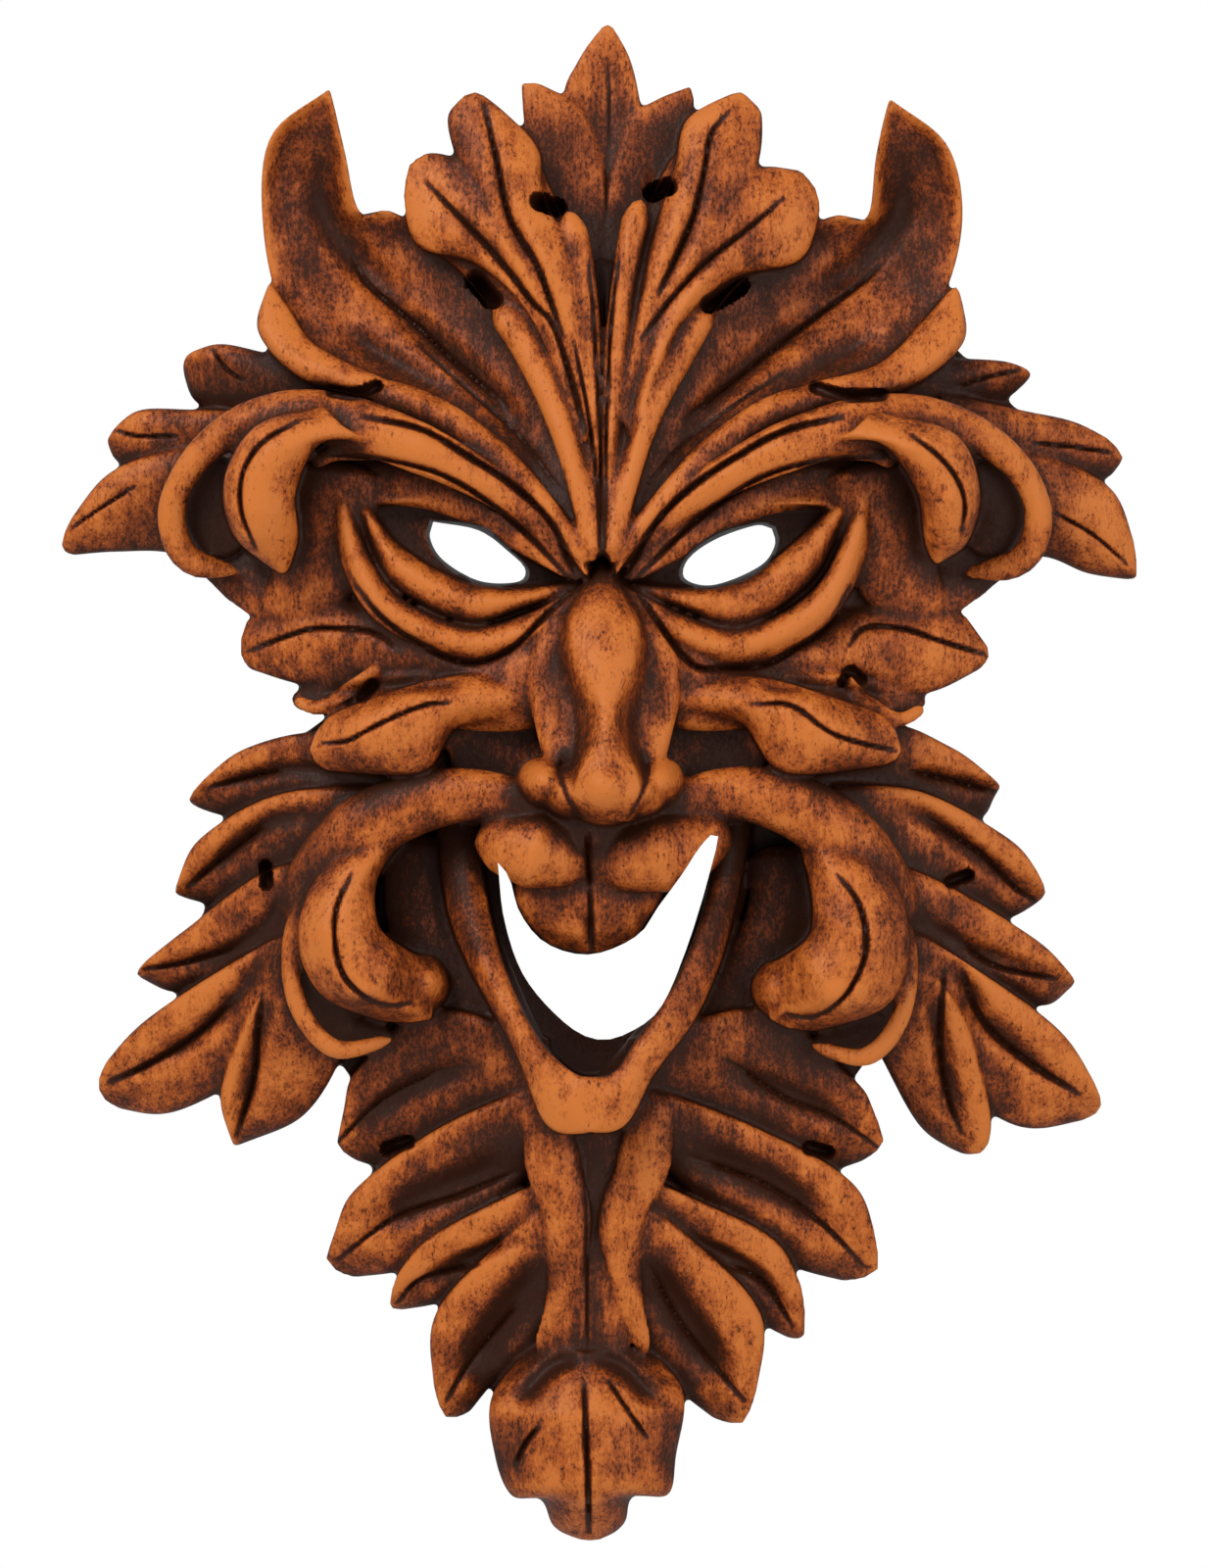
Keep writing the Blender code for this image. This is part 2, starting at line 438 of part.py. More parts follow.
def beard():
    """Beard: four lobes a side below the jaw, two raised pipes and the sunken stem between them."""
    front = [0.046, 0.042, 0.036, 0.032]
    body = [0.044, 0.016]
    for left, vein, right in (
            ([(560, 1060), (440, 1030), (365, 1090), (350, 1135)], [(560, 1090), (450, 1100), (380, 1135), (344, 1166)],
             [(570, 1130), (480, 1170), (400, 1190), (355, 1182)]),
            ([(560, 1100), (450, 1150), (364, 1212), (340, 1260)], [(570, 1130), (470, 1200), (390, 1255), (333, 1284)],
             [(590, 1150), (510, 1230), (430, 1290), (350, 1305)]),
            ([(590, 1190), (520, 1220), (440, 1262), (402, 1304)], [(590, 1210), (520, 1248), (450, 1290), (398, 1330)],
             [(590, 1240), (530, 1280), (460, 1325), (402, 1338)]),
            ([(590, 1200), (520, 1260), (445, 1340), (443, 1425)], [(594, 1240), (535, 1310), (490, 1380), (455, 1446)],
             [(598, 1290), (560, 1370), (510, 1405), (475, 1446)]),
            ([(640, 1060), (780, 1030), (870, 1100), (892, 1130)], [(640, 1090), (760, 1100), (850, 1140), (902, 1164)],
             [(640, 1130), (740, 1170), (830, 1195), (890, 1182)]),
            ([(640, 1100), (770, 1150), (868, 1205), (896, 1265)], [(640, 1130), (750, 1200), (840, 1260), (896, 1295)],
             [(630, 1150), (720, 1230), (800, 1288), (872, 1310)]),
            ([(630, 1190), (710, 1224), (790, 1265), (822, 1320)], [(630, 1210), (710, 1248), (775, 1300), (821, 1362)],
             [(630, 1240), (700, 1285), (770, 1345), (812, 1369)]),
            ([(620, 1200), (700, 1260), (776, 1340), (771, 1430)], [(612, 1240), (680, 1310), (725, 1380), (758, 1452)],
             [(608, 1290), (650, 1380), (700, 1425), (735, 1452)])):
        yield leaf(left, vein, right, front, 0.003, body, tilt=0.005)
    pipe = [0.052, 0.056, 0.054, 0.050, 0.045]
    yield roll([(536, 1150), (566, 1200), (578, 1255), (566, 1320), (548, 1385)], [18, 28, 24, 17, 12], pipe)
    yield roll([(684, 1150), (648, 1198), (636, 1250), (644, 1320), (662, 1385)], [18, 28, 22, 16, 12], pipe)
    yield roll([(606, 1140), (600, 1280), (598, 1440)], [34, 26, 34], [0.046, 0.042, 0.040], 0.3)
    yield leaf([(545, 1370), (502, 1425), (505, 1485), (522, 1526), (552, 1530), (564, 1556), (584, 1570)],
               [(598, 1380), (598, 1440), (600, 1500), (602, 1572)],
               [(655, 1370), (697, 1420), (690, 1485), (682, 1525), (646, 1527), (638, 1553), (620, 1570)],
               [0.040, 0.050, 0.052, 0.044], 0.006, [0.038, 0.03])


def ground():
    """Ground: the flat-backed core that everything grows from, and the raised mass of the face on it."""
    outline = [(612, 100), (690, 140), (790, 200), (900, 260), (950, 330), (1040, 420), (1080, 520), (1040, 584),
               (965, 600), (960, 660), (890, 720), (960, 790), (1010, 890), (1040, 990), (1060, 1090), (960, 1120),
               (900, 1060), (850, 1130), (850, 1250), (780, 1310), (740, 1400), (670, 1420), (650, 1500), (600, 1540),
               (540, 1500), (530, 1420), (480, 1400), (470, 1330), (380, 1260), (380, 1130), (330, 1060), (270, 1110),
               (160, 1080), (190, 990), (220, 890), (240, 800), (350, 720), (280, 650), (260, 612), (205, 585),
               (140, 530), (180, 440), (240, 400), (300, 345), (300, 240), (400, 250), (440, 190), (540, 130)]
    yield plate(outline, core_depth, -behind)
    mass = [(612, 380), (700, 410), (800, 430), (900, 440), (940, 520), (900, 600), (880, 680), (840, 760),
            (800, 830), (612, 860), (430, 830), (390, 760), (350, 680), (320, 600), (290, 520), (330, 440),
            (430, 430), (530, 410)]
    yield plate(mass, 0.046, 0.01)
    chin = [(420, 1060), (600, 1100), (800, 1060), (810, 1180), (760, 1290), (700, 1380), (600, 1420), (510, 1380),
            (450, 1290), (400, 1180)]
    yield plate(chin, 0.034, 0.01)


def openings():
    """Openings: the two eye holes and the mouth, cut right through."""
    eye_left = [(443, 533), (488, 542), (518, 563), (535, 580), (528, 593), (490, 592), (454, 572), (440, 550)]
    eye_right = [(787, 540), (790, 556), (775, 577), (729, 596), (700, 590), (703, 571), (729, 552), (770, 537)]
    mouth_hole = [(508, 880), (515, 940), (536, 998), (578, 1045), (612, 1061), (645, 1052), (675, 1027), (701, 967),
                  (723, 896), (733, 850), (716, 862), (697, 891), (672, 925), (650, 955), (603, 974), (558, 963),
                  (531, 932), (520, 896)]
    for outline in (eye_left, eye_right):
        yield plate([Vector(point) for point in outline], 0.12, -0.01, eye_opening_draw)
    yield plate([Vector(point) for point in mouth_hole], 0.12, -0.01)


def wood():
    material = bpy.data.materials.new("stained_carved_wood")
    material.use_nodes = True
    shader = material.node_tree.nodes["Principled BSDF"]
    shader.inputs["Base Color"].default_value = (0.42, 0.13, 0.035, 1)
    shader.inputs["Roughness"].default_value = 0.42
    shader.inputs["Metallic"].default_value = 0.0
    return material


def as_object(name, bm):
    mesh = bpy.data.meshes.new(name)
    bm.to_mesh(mesh)
    bm.free()
    thing = bpy.data.objects.new(name, mesh)
    bpy.context.scene.collection.objects.link(thing)
    return thing


def apply(target, kind, **settings):
    """Changes an object's mesh by one modifier."""
    change = target.modifiers.new(kind.lower(), kind)
    for name, value in settings.items():
        setattr(change, name, value)
    graph = bpy.context.evaluated_depsgraph_get()
    mesh = bpy.data.meshes.new_from_object(target.evaluated_get(graph))
    target.modifiers.clear()
    old = target.data
    target.data = mesh
    bpy.data.meshes.remove(old)


def combine(target, tool, operation):
    """Joins a closed tool to the carving, or cuts it out, and removes the tool."""
    apply(target, "BOOLEAN", operation=operation, object=tool, solver="MANIFOLD")
    bpy.data.objects.remove(tool)


def outer_skin(mesh):
    """Drops the inner faces of pockets that leaves close off inside the wood."""
    bm = bmesh.new()
    bm.from_mesh(mesh)
    bm.faces.ensure_lookup_table()
    left = set(bm.faces)
    islands = []
    while left:
        front = [left.pop()]
        island = list(front)
        while front:
            near = {other for edge in front.pop().edges for other in edge.link_faces} & left
            left -= near
            front.extend(near)
            island.extend(near)
        islands.append(island)
    islands.sort(key=len)
    bmesh.ops.delete(bm, geom=[face for island in islands[:-1] for face in island], context="FACES")
    bmesh.ops.delete(bm, geom=[vert for vert in bm.verts if not vert.link_faces], context="VERTS")
    bm.to_mesh(mesh)
    bm.free()


for thing in list(bpy.data.objects):
    bpy.data.objects.remove(thing)

carving = None
for region in (ground, crown, horns, volutes, temples, eyes, nose, cheeks, moustache, side_leaves, mouth, beard):
    for solid in region():
        piece = as_object("carved_mask" if carving is None else region.__name__, solid)
        if carving is None:
            carving = piece
        else:
            combine(carving, piece, "UNION")
for solid in openings():
    combine(carving, as_object("opening", solid), "DIFFERENCE")
outer_skin(carving.data)
apply(carving, "REMESH", mode="VOXEL", voxel_size=voxel, adaptivity=0)
outer_skin(carving.data)
carving.data.calc_loop_triangles()
apply(carving, "DECIMATE", ratio=triangles / len(carving.data.loop_triangles))
saw = bmesh.new()
bmesh.ops.create_cube(saw, size=1, matrix=Matrix.Translation((0, 0.5, 0)))
combine(carving, as_object("saw", saw), "DIFFERENCE")
outer_skin(carving.data)
carving.data.materials.clear()
carving.data.materials.append(wood())
print("triangles", sum(len(face.vertices) - 2 for face in carving.data.polygons))
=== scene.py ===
import bpy
import bmesh
import math
import numpy as np
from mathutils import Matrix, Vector


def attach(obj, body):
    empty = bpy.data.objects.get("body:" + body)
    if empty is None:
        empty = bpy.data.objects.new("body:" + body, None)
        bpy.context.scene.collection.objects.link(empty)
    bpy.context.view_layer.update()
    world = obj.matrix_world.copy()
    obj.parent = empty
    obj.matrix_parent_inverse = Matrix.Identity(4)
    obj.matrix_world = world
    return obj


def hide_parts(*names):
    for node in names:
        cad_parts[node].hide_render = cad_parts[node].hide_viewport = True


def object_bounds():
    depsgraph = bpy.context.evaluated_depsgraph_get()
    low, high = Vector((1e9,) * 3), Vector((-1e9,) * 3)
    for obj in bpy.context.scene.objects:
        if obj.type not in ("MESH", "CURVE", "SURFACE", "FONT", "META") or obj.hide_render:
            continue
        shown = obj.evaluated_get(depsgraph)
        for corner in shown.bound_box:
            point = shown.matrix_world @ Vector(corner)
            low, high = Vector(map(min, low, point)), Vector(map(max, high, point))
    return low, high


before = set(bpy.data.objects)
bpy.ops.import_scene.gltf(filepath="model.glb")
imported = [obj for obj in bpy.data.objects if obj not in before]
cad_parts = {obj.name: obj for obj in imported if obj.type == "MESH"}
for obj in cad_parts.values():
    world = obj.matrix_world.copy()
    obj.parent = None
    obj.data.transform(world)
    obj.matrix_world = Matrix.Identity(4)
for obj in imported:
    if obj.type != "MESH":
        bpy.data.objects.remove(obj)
cadBox = [list(corner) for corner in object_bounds()]
print("frame loaded")

# The carver's squared drawing, read right and down from its corner, as in the solids.
drawing = {
    "square": 0.500 / 1550,     # one square, in metres, at the middle depth
    "middle": 617,              # straight in front of the viewer
    "level": 800,
    "mountAcross": 612,         # the mount point on the flat back
    "mountDown": 450,
    "middleDepth": 0.045,
    "viewingDistance": 1.20,
}

# Sizes of the carving itself, in metres.
carving = {
    "groundDepth": 0.024,
    "behind": 0.004,            # what is sawn off behind the flat back
    "leafEdge": 0.013,
    "stepsAlong": 60,
    "stepsAcross": 40,
    "rollSides": 36,
    "grain": 0.0009,   # grid of the joined surface
    "soften": 2,
    "triangles": 190000,
    "eyeDraw": 0.004,
}

strokes = bmesh.new()


def place(across, down, depth):  # a square of the drawing at its depth off the wall
    reach = drawing["viewingDistance"]
    size = drawing["square"] * (reach - depth) / (reach - drawing["middleDepth"])
    mountSize = drawing["square"] * reach / (reach - drawing["middleDepth"])
    x = (across - drawing["middle"]) * size - (drawing["mountAcross"] - drawing["middle"]) * mountSize
    z = (drawing["level"] - down) * size - (drawing["level"] - drawing["mountDown"]) * mountSize
    return Vector((x, -depth, z))


def curveThrough(points, count):  # evenly spaced values on a smooth curve
    points = np.array([tuple(point) for point in points], float)
    ends = np.vstack([points[0] * 2 - points[1], points, points[-1] * 2 - points[-2]])
    t = np.linspace(0, 1, 12, endpoint=False)[:, None]
    fine = [0.5 * (2 * b + (c - a) * t + (2 * a - 5 * b + 4 * c - d) * t ** 2 + (3 * b - a - 3 * c + d) * t ** 3)
            for a, b, c, d in zip(ends, ends[1:], ends[2:], ends[3:])]
    fine = np.vstack(fine + [points[-1:]])
    run = np.concatenate([[0], np.cumsum(np.linalg.norm(np.diff(fine, axis=0), axis=1))])
    goals = np.linspace(0, run[-1], count)
    return np.column_stack([np.interp(goals, run, fine[:, axis]) for axis in range(fine.shape[1])])


def along(values, t):
    return float(np.interp(t, np.linspace(0, 1, len(values)), values))


def keep(piece):  # adds one stroke to the soup that is joined later
    bmesh.ops.recalc_face_normals(piece, faces=piece.faces[:])
    mesh = bpy.data.meshes.new("stroke")
    piece.to_mesh(mesh)
    piece.free()
    strokes.from_mesh(mesh)
    bpy.data.meshes.remove(mesh)


def leafStroke(left, vein, right, depth, camber=0.004, thick=None, tilt=0.0):
    thick = thick or [carving["leafEdge"] * 2.2, carving["leafEdge"]]
    rows = carving["stepsAlong"]
    lefts, veins, rights = (curveThrough(points, rows + 1) for points in (left, vein, right))
    piece = bmesh.new()
    bmesh.ops.create_grid(piece, x_segments=rows, y_segments=carving["stepsAcross"], size=1)
    for part in bmesh.ops.extrude_face_region(piece, geom=piece.faces[:])["geom"]:
        if isinstance(part, bmesh.types.BMVert):
            part.co.z = -1
    for vert in piece.verts:
        t, s, behind = (vert.co.x + 1) / 2, vert.co.y, vert.co.z < 0
        row = round(t * rows)
        short = round(t * (1 - 0.05 * s ** 4) * rows)  # the tip is rounded
        edge = lefts[short] if s < 0 else rights[short]
        flat = veins[row] + (edge - veins[row]) * abs(s)
        arch = camber * min(1.0, 4 * (1 - t) + 0.15) * (1 - s * s)
        fall = 0.0014 * max(0.0, (abs(s) - 0.9) / 0.1) ** 2  # the rim is eased
        lean = -tilt * s * min(1.0, 3 * t + 0.2)
        vert.co = place(flat[0], flat[1], along(depth, t) + arch - fall + lean)
        if behind:
            vert.co = pushed(vert.co, max(0.001, along(depth, t) - along(thick, t)))
    keep(piece)


def pushed(point, depth):  # the same place on the drawing, at another depth
    reach = drawing["viewingDistance"]
    ratio = (reach - depth) / (reach + point.y)
    mountSize = drawing["square"] * reach / (reach - drawing["middleDepth"])
    eyeX = (drawing["middle"] - drawing["mountAcross"]) * mountSize
    eyeZ = -(drawing["level"] - drawing["mountDown"]) * mountSize
    return Vector((eyeX + (point.x - eyeX) * ratio, -depth, eyeZ + (point.z - eyeZ) * ratio))


def rollStroke(points, widths, depths, deep=0.8):
    rows = carving["stepsAlong"]
    path = curveThrough(points, rows + 1)
    piece = bmesh.new()
    bmesh.ops.create_uvsphere(piece, u_segments=carving["rollSides"], v_segments=rows, radius=1)
    for vert in piece.verts:
        t = math.acos(max(-1, min(1, vert.co.z))) / math.pi
        turn = math.atan2(vert.co.y, vert.co.x)
        row = round(t * rows)
        ahead = path[min(row + 1, rows)] - path[max(row - 1, 0)]
        side = np.array((-ahead[1], ahead[0])) / max(np.hypot(*ahead), 1e-9)
        full = along(widths, t)
        half = full * min(1.0, math.sin(math.pi * t) * 5) ** 0.5
        flat = path[row] + side * half * math.sin(turn)
        tall = half * drawing["square"] * deep
        front = along(depths, t) - full * drawing["square"] * deep
        vert.co = place(flat[0], flat[1], max(0.0012, front + tall * math.cos(turn)))
    keep(piece)


def lumpStroke(across, down, front, wide, tall, deep):
    piece = bmesh.new()
    bmesh.ops.create_uvsphere(piece, u_segments=48, v_segments=32, radius=1)
    for vert in piece.verts:
        spot = vert.co.copy()
        vert.co = place(across + spot.x * wide, down - spot.z * tall, front - deep - spot.y * deep)
    keep(piece)


def plateStroke(outline, front, back):
    piece = bmesh.new()
    corners = [piece.verts.new(place(point[0], point[1], front)) for point in outline]
    face = piece.faces.new(corners)
    grown = bmesh.ops.extrude_face_region(piece, geom=[face])["geom"]
    for vert in grown:
        if isinstance(vert, bmesh.types.BMVert):
            vert.co = pushed(vert.co, back)
    keep(piece)


def ridgeStroke(sections, middle, lean, foot):  # each section: down, front, half top, half foot
    rows = 60
    table = curveThrough(sections, rows + 1)
    piece = bmesh.new()
    bmesh.ops.create_grid(piece, x_segments=40, y_segments=rows, size=1)
    for vert in piece.verts:
        s, t = vert.co.x, (vert.co.y + 1) / 2
        down, front, top, wide = table[round(t * rows)]
        inner = min(1.0, abs(s) / 0.45)
        outer = max(0.0, (abs(s) - 0.45) / 0.55)
        across = middle + (down - table[0][0]) * lean + math.copysign(top * inner + (wide - top) * outer, s)
        depth = front - 0.003 * inner ** 2 - (front - 0.003 - foot) * outer
        vert.co = place(across, down, depth)
    backs = bmesh.ops.extrude_face_region(piece, geom=piece.faces[:])["geom"]
    for vert in backs:
        if isinstance(vert, bmesh.types.BMVert):
            vert.co = pushed(vert.co, 0.012)
    keep(piece)


def crown():  # Crown: the dark middle leaf, and the two bright side leaves of two lobes each.
    low = [0.042, 0.041, 0.041]
    high = [0.066, 0.062, 0.056]
    leafStroke([(600, 560), (576, 420), (564, 290), (572, 180), (575, 98), (588, 66), (610, 30)],
               [(614, 560), (616, 420), (619, 290), (620, 180), (620, 110), (620, 66), (621, 25)],
               [(628, 560), (658, 420), (672, 290), (668, 180), (655, 112), (645, 66), (630, 32)],
               [0.068, 0.060, 0.050, 0.043, 0.040, 0.040], -0.001, [0.05, 0.014])
    leafStroke([(600, 280), (560, 190), (538, 140), (532, 88)], [(610, 250), (575, 170), (550, 115), (533, 85)],
               [(620, 200), (600, 120), (556, 88), (534, 85)], low, 0.0, [0.035, 0.014])
    leafStroke([(620, 200), (640, 125), (668, 103), (702, 89)], [(630, 250), (665, 160), (690, 110), (704, 89)],
               [(640, 270), (675, 190), (706, 116), (706, 90)], low, 0.0, [0.035, 0.014])
    rollStroke([(614, 262), (614, 360), (614, 460)], [20, 16, 10], [0.048, 0.058, 0.066], 0.3)
    fan = [0.072, 0.066, 0.061, 0.057, 0.052]
    leafStroke([(598, 560), (566, 440), (520, 345), (478, 285), (436, 250)],
               [(606, 560), (590, 420), (560, 310), (525, 240), (490, 180)],
               [(613, 560), (610, 400), (600, 300), (574, 222), (540, 145)], fan, 0.002, [0.05, 0.02])
    leafStroke([(617, 560), (622, 400), (632, 300), (656, 222), (694, 145)],
               [(625, 560), (645, 420), (680, 310), (715, 240), (745, 180)],
               [(634, 560), (668, 440), (710, 350), (752, 290), (800, 262)], fan, 0.002, [0.05, 0.02])
    leafStroke([(585, 430), (535, 290), (478, 190), (457, 128), (466, 100)],
               [(592, 430), (549, 272), (520, 222), (506, 159), (485, 94)],
               [(606, 430), (590, 280), (555, 200), (548, 150), (500, 100)], high, 0.004, [0.045, 0.02])
    leafStroke([(590, 450), (545, 330), (490, 272), (429, 252), (411, 212)],
               [(598, 450), (567, 337), (507, 261), (450, 205), (414, 184)],
               [(604, 420), (560, 240), (506, 180), (455, 158), (421, 157)], high, 0.004, [0.045, 0.02])
    leafStroke([(632, 430), (662, 260), (688, 175), (700, 124), (740, 97)],
               [(645, 430), (689, 264), (718, 178), (735, 126), (756, 94)],
               [(655, 430), (710, 290), (768, 185), (778, 122), (766, 100)], high, 0.004, [0.045, 0.02])
    leafStroke([(636, 410), (690, 240), (760, 176), (810, 173), (829, 182)],
               [(640, 440), (686, 303), (767, 230), (815, 190), (836, 205)],
               [(648, 450), (690, 340), (746, 285), (815, 266), (837, 222)], high, 0.004, [0.045, 0.02])
    rib = [0.062, 0.064, 0.066, 0.069, 0.073]
    rollStroke([(579, 214), (592, 262), (602, 335), (609, 440), (613, 570)], [15, 12, 10, 9, 9], rib)
    rollStroke([(654, 202), (642, 255), (630, 335), (622, 440), (618, 570)], [15, 12, 10, 9, 9], rib)
    fold = [0.060, 0.064, 0.069, 0.072, 0.073]
    pleat = [0.050, 0.058, 0.065, 0.070]
    rollStroke([(470, 385), (540, 445), (584, 510), (606, 575)], [34, 34, 24, 10], pleat, 0.5)
    rollStroke([(760, 385), (690, 445), (648, 510), (622, 575)], [34, 34, 24, 10], pleat, 0.5)
    rollStroke([(507, 308), (538, 356), (568, 420), (590, 490), (607, 575)], [17, 16, 14, 12, 9], fold)
    rollStroke([(722, 308), (695, 358), (663, 420), (640, 490), (622, 575)], [17, 16, 14, 12, 9], fold)


def horns():  # Horns: long scooped leaves from the brow to the horn tips, each with a rolled lower rim.
    front = [0.072, 0.068, 0.061, 0.050, 0.043, 0.047, 0.058]
    leafStroke([(600, 590), (510, 475), (425, 418), (345, 382), (288, 315), (268, 225), (276, 140), (333, 92)],
               [(603, 565), (530, 430), (440, 345), (376, 285), (325, 210), (315, 150), (336, 92)],
               [(608, 540), (570, 390), (500, 290), (405, 218), (368, 218), (352, 155), (338, 94)],
               front, -0.007, [0.055, 0.018])
    leafStroke([(618, 540), (660, 390), (735, 285), (845, 222), (884, 224), (894, 160), (906, 103)],
               [(622, 565), (700, 430), (800, 345), (877, 285), (920, 220), (925, 160), (909, 102)],
               [(626, 590), (715, 475), (815, 420), (890, 385), (955, 318), (982, 230), (968, 150), (912, 103)],
               front, -0.007, [0.055, 0.018])
    rim = [0.058, 0.060, 0.056, 0.050]
    leafStroke([(430, 430), (380, 408), (310, 388), (264, 340), (272, 292)],
               [(432, 415), (380, 398), (300, 366), (270, 330), (276, 290)],
               [(440, 400), (392, 386), (322, 352), (296, 316), (279, 293)], rim, 0.003, [0.04, 0.02])
    leafStroke([(800, 415), (822, 393), (895, 372), (940, 330), (969, 296)],
               [(805, 425), (830, 406), (905, 392), (975, 345), (976, 293)],
               [(810, 440), (840, 420), (920, 400), (982, 352), (982, 302)], rim, 0.003, [0.04, 0.02])
    pipe = [0.062, 0.066, 0.070, 0.072]
    rollStroke([(375, 398), (440, 420), (500, 460), (555, 515), (600, 575)], [17, 17, 16, 12, 8], pipe)
    rollStroke([(842, 408), (790, 420), (730, 460), (675, 515), (624, 575)], [17, 17, 16, 12, 8], pipe)


def volutes():  # Volutes: the brow bands that curl down at the temples, each round a hanging tongue.
    front = [0.066, 0.068, 0.074, 0.078, 0.076, 0.070, 0.064, 0.060, 0.056, 0.050]
    rollStroke([(598, 582), (545, 528), (478, 482), (400, 446), (322, 424), (250, 432), (199, 470), (175, 522),
                (192, 570), (246, 584)], [9, 15, 20, 26, 28, 26, 18, 14, 15, 12], front)
    rollStroke([(628, 582), (684, 524), (755, 478), (830, 446), (908, 428), (984, 438), (1038, 476), (1060, 526),
                (1042, 572), (982, 586)], [9, 15, 20, 26, 28, 26, 18, 14, 15, 12], front)
    cheek = [0.060, 0.057, 0.053, 0.047]
    rollStroke([(348, 470), (338, 540), (312, 600), (284, 640)], [40, 46, 44, 26], cheek, 0.35)
    rollStroke([(884, 470), (896, 540), (924, 600), (952, 636)], [40, 46, 44, 26], cheek, 0.35)
    pit = [0.052, 0.048, 0.046]
    rollStroke([(212, 556), (250, 588), (286, 622)], [26, 30, 24], [0.040, 0.044, 0.046], 0.4)
    rollStroke([(1020, 560), (980, 588), (950, 618)], [26, 30, 24], [0.040, 0.044, 0.046], 0.4)
    rollStroke([(240, 470), (214, 520), (232, 570)], [26, 28, 20], pit, 0.3)
    rollStroke([(995, 470), (1020, 520), (1004, 570)], [26, 28, 20], pit, 0.3)
    tongue = [0.074, 0.079, 0.077, 0.068]
    leafStroke([(330, 415), (262, 434), (229, 488), (238, 545), (282, 584)],
               [(350, 435), (288, 456), (262, 500), (262, 545), (288, 585)],
               [(380, 452), (328, 452), (302, 500), (304, 548), (294, 584)], tongue, 0.006, [0.045, 0.03])
    leafStroke([(850, 450), (900, 453), (935, 500), (944, 552), (952, 574)],
               [(870, 440), (940, 462), (966, 500), (970, 545), (957, 575)],
               [(890, 420), (974, 442), (1000, 500), (988, 552), (962, 573)], tongue, 0.006, [0.045, 0.03])
    curl = [0.066, 0.070, 0.072]
    rollStroke([(318, 474), (345, 462), (395, 462)], [7, 9, 8], curl)
    rollStroke([(914, 474), (885, 462), (838, 462)], [7, 9, 8], curl)


def temples():  # Temples: three lobes at each side, low behind the volutes.
    front = [0.034, 0.030, 0.026]
    body = [0.03, 0.016]
    for left, vein, right in (
            ([(330, 370), (276, 361), (226, 351), (192, 360)], [(330, 410), (250, 389), (217, 372), (188, 368)],
             [(310, 450), (240, 425), (200, 410), (186, 378)]),
            ([(270, 420), (198, 418), (145, 418), (118, 434)], [(270, 450), (190, 447), (143, 445), (110, 448)],
             [(250, 500), (180, 490), (125, 474), (110, 456)]),
            ([(250, 450), (170, 460), (110, 484), (68, 535)], [(240, 490), (160, 500), (100, 522), (63, 556)],
             [(240, 600), (180, 566), (120, 563), (68, 567)]),
            ([(890, 370), (960, 366), (1020, 368), (1049, 376)], [(890, 410), (970, 392), (1020, 386), (1052, 382)],
             [(900, 450), (980, 425), (1025, 408), (1050, 388)]),
            ([(960, 400), (1040, 418), (1095, 430), (1136, 450)], [(960, 450), (1050, 452), (1100, 456), (1146, 467)],
             [(990, 520), (1080, 500), (1126, 489), (1141, 478)]),
            ([(1000, 450), (1080, 470), (1136, 501), (1160, 560)], [(1000, 520), (1070, 525), (1120, 550), (1160, 588)],
             [(1000, 590), (1060, 568), (1110, 585), (1156, 592)])):
        leafStroke(left, vein, right, front, 0.004, body, tilt=0.003)


def eyes():  # Eyes: sockets, upper lids, lower lids and the bags below them.
    lid = [0.054, 0.060, 0.062, 0.060]
    bag = [0.052, 0.060, 0.062, 0.064]
    brow = [0.050, 0.058, 0.063, 0.066, 0.066]
    rollStroke([(340, 492), (420, 490), (490, 515), (548, 556), (596, 592)], [30, 28, 24, 18, 8], brow, 0.5)
    rollStroke([(890, 500), (820, 492), (745, 515), (686, 556), (636, 592)], [30, 28, 24, 18, 8], brow, 0.5)
    leafStroke([(358, 480), (400, 476), (470, 500), (530, 545), (590, 590)],
               [(350, 500), (400, 490), (470, 512), (520, 555), (590, 592)],
               [(350, 520), (400, 514), (462, 518), (515, 556), (590, 596)], lid, -0.002, [0.052, 0.058], 0)
    leafStroke([(700, 556), (740, 536), (790, 516), (860, 520), (880, 540)][::-1],
               [(690, 560), (735, 525), (790, 500), (850, 500), (890, 520)][::-1],
               [(632, 590), (700, 540), (760, 500), (830, 476), (880, 480)][::-1], lid, -0.002, [0.052, 0.058], 0)
    leafStroke([(375, 515), (410, 558), (470, 592), (530, 600), (585, 594)],
               [(372, 520), (405, 575), (470, 612), (530, 612), (585, 597)],
               [(366, 525), (400, 595), (475, 634), (535, 620), (588, 600)], lid, 0.005, [0.045, 0.05], 0)
    leafStroke([(855, 510), (812, 552), (760, 591), (700, 600), (645, 594)],
               [(858, 520), (818, 570), (760, 612), (702, 612), (645, 597)],
               [(864, 525), (828, 592), (757, 638), (695, 620), (642, 600)], lid, 0.005, [0.045, 0.05], 0)
    leafStroke([(358, 474), (364, 532), (400, 602), (475, 639), (540, 625), (592, 598)],
               [(350, 480), (354, 545), (392, 620), (475, 656), (545, 641), (594, 600)],
               [(342, 488), (344, 560), (384, 634), (474, 673), (552, 651), (597, 604)], bag, 0.005, [0.045, 0.055])
    leafStroke([(874, 474), (866, 532), (830, 602), (757, 641), (692, 625), (640, 598)],
               [(882, 480), (876, 545), (838, 620), (757, 659), (684, 641), (638, 600)],
               [(890, 488), (886, 560), (844, 637), (757, 679), (680, 651), (634, 604)], bag, 0.005, [0.045, 0.055])


